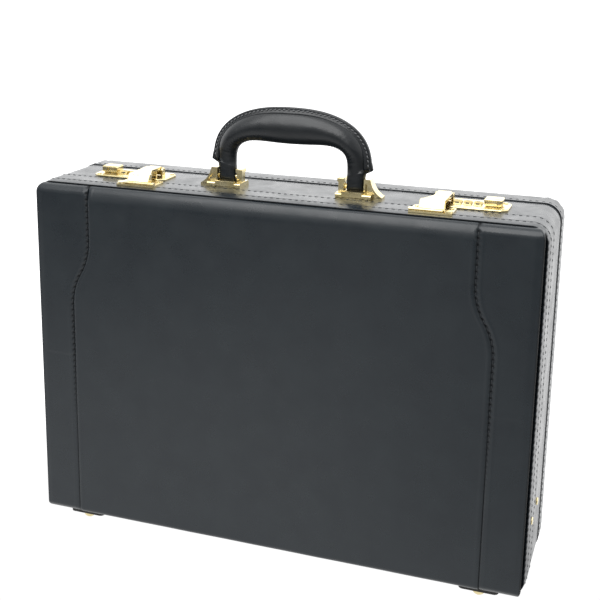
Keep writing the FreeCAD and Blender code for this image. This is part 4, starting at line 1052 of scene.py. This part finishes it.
def node_slot(name):
    """The record's material slot of a CAD node, told by a word in its name."""
    words = {"black_rubber": "foot_pads", "lining": "lining", "foam": "foam", "pocket_leather": "file_pocket",
             "handle_leather": "handle_grip", "plywood": "frame board",
             "case_leather": "band binding cover panel_leather",
             "steel": "dial_spindles handle_core backing housing slider hinge_pin",
             "dial_brass": "dial", "rim_metal": "tongue"}
    for slot, marks in words.items():
        if any(mark in name for mark in marks.split()):
            return slot
    return "gold_brass"


# ---- stage
FLOOR_FAR = 6.0
TRENCH_Z = -0.066
TRENCH_Y, TRENCH_END = -0.40, -0.46  # where its bottom ends and where its slope meets the floor
FLOOR_NEAR = ((0.0, 0.20), (0.5, 0.42), (0.8, 0.64), (1.0, 0.90))
FLOOR_ACROSS = ((0.0, 0.5), (0.36, 0.72), (0.5, 1.0), (0.62, 1.0), (0.76, 0.6), (1.0, 0.5))
WORLD_SPAN = {"From Min": -0.55, "From Max": 0.75, "To Min": 0.75, "To Max": 2.1}


def floor_finish():
    """The floor glows: white behind the case, dimmer in front and to the sides there."""
    n = Nodes("pale_floor")
    x, y = n.axes()[:2]
    near = n.ramp(n.span(y, 0, 1, -2.2, -0.2), [(at, (grey,) * 3) for at, grey in FLOOR_NEAR])
    across = n.ramp(n.span(x, 0, 1, -1.2, 0.6), [(at, (grey,) * 3) for at, grey in FLOOR_ACROSS])
    dim = n.maths("MULTIPLY", n.maths("MULTIPLY", near, across), 1.45)
    ahead = n.span(n.maths("SUBTRACT", y, n.maths("MULTIPLY", x, 0.35)), 1, 0, -0.38, -0.16)
    white = n.span(y, 1.04, 1.6, 0.0, 0.2)
    light = n.add("ShaderNodeEmission")
    n.join(n.mix(ahead, white, dim), light.inputs["Strength"])
    n.join(light.outputs[0], n.tree.nodes["Material Output"].inputs["Surface"])
    n.tree.nodes.remove(n.shader)
    return n.material


def floor():
    """A pale floor, with a trench where the lid opens below the case's feet."""
    start = Y_LID_RIM + 2 * MM
    steps = [(FLOOR_FAR, 0), (start, 0), (start, TRENCH_Z), (TRENCH_Y, TRENCH_Z), (TRENCH_END, 0),
             (-FLOOR_FAR, 0)]
    verts = [(x, y, z) for y, z in steps for x in (-FLOOR_FAR, FLOOR_FAR)]
    faces = [(2 * i, 2 * i + 1, 2 * i + 3, 2 * i + 2) for i in range(len(steps) - 1)]
    mesh_object("floor", verts, faces, floor_finish(), False)


def area_light(name, place, aim, size, power):
    """A rectangular softbox, turned to a point."""
    data = bpy.data.lights.new(name, "AREA")
    data.shape = "RECTANGLE"
    data.size, data.size_y = size
    data.energy = power
    lamp = linked(name, data)
    lamp.location = place
    lamp.rotation_euler = (Vector(aim) - Vector(place)).to_track_quat("-Z", "Y").to_euler()


def studio():
    """The world's light, stronger behind the case than in front of it, and two softboxes."""
    world = bpy.data.worlds.new("studio")
    bpy.context.scene.world = world
    world.use_nodes = True
    tree = world.node_tree
    place = tree.nodes.new("ShaderNodeTexCoord")
    apart = tree.nodes.new("ShaderNodeSeparateXYZ")
    tree.links.new(place.outputs["Generated"], apart.inputs[0])
    span = tree.nodes.new("ShaderNodeMapRange")
    for key, value in WORLD_SPAN.items():
        span.inputs[key].default_value = value
    tree.links.new(apart.outputs["Y"], span.inputs["Value"])
    tree.links.new(span.outputs["Result"], tree.nodes["Background"].inputs["Strength"])
    tree.nodes["Background"].inputs["Color"].default_value = (1, 1, 1, 1)
    area_light("top_softbox", (-0.15, -0.72, 1.38), (0, 0, 0.3), (1.2, 1.0), 13)
    area_light("front_softbox", (-0.4, -1.9, 1.3), (0, 0, 0.4), (0.9, 0.6), 6)
    bpy.context.scene.view_settings.view_transform = "Standard"
    bpy.context.scene.view_settings.look = "None"


# ---- camera
CAMERA_AZIMUTH = 18.94
CAMERA_ELEVATION = 13.65
CAMERA_ROLL = 0.99
CAMERA_DISTANCE = 898.4 * MM
CAMERA_AIM = Vector((23.0 * MM, Y_FRONT, Z_HIGH - 14.7 * MM))
CAMERA_LENS = 65.7
CAMERA_SHIFT_Y = -0.133


def camera():
    data = bpy.data.cameras.new("camera")
    data.lens = CAMERA_LENS
    data.shift_y = CAMERA_SHIFT_Y
    data.clip_start, data.clip_end = 0.05, 50
    obj = linked("camera", data)
    a, e = math.radians(CAMERA_AZIMUTH), math.radians(CAMERA_ELEVATION)
    back = Vector((math.sin(a) * math.cos(e), -math.cos(a) * math.cos(e), math.sin(e)))
    level = (-back).to_track_quat("-Z", "Y")
    roll_turn = Matrix.Rotation(math.radians(CAMERA_ROLL), 3, back)
    obj.matrix_world = Matrix.Translation(CAMERA_AIM + back * CAMERA_DISTANCE) @ (
        roll_turn @ level.to_matrix()).to_4x4()
    bpy.context.scene.camera = obj


camera()
studio()
floor()
cad_materials()
front_leathers()
seam_stitches()
front_foam()
lid_leather()
body_leather()
binding_leather()
back_leather()
handle_leather()
lining("lid_lining_cloth", "lid_lining", Y_LID_RIM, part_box("lid_lining")[0].y, "lid")
lining("body_lining_cloth", "body_lining", Y_BODY_RIM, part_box("body_lining")[1].y, "case_body")
file_pocket()

bpy.context.view_layer.update()
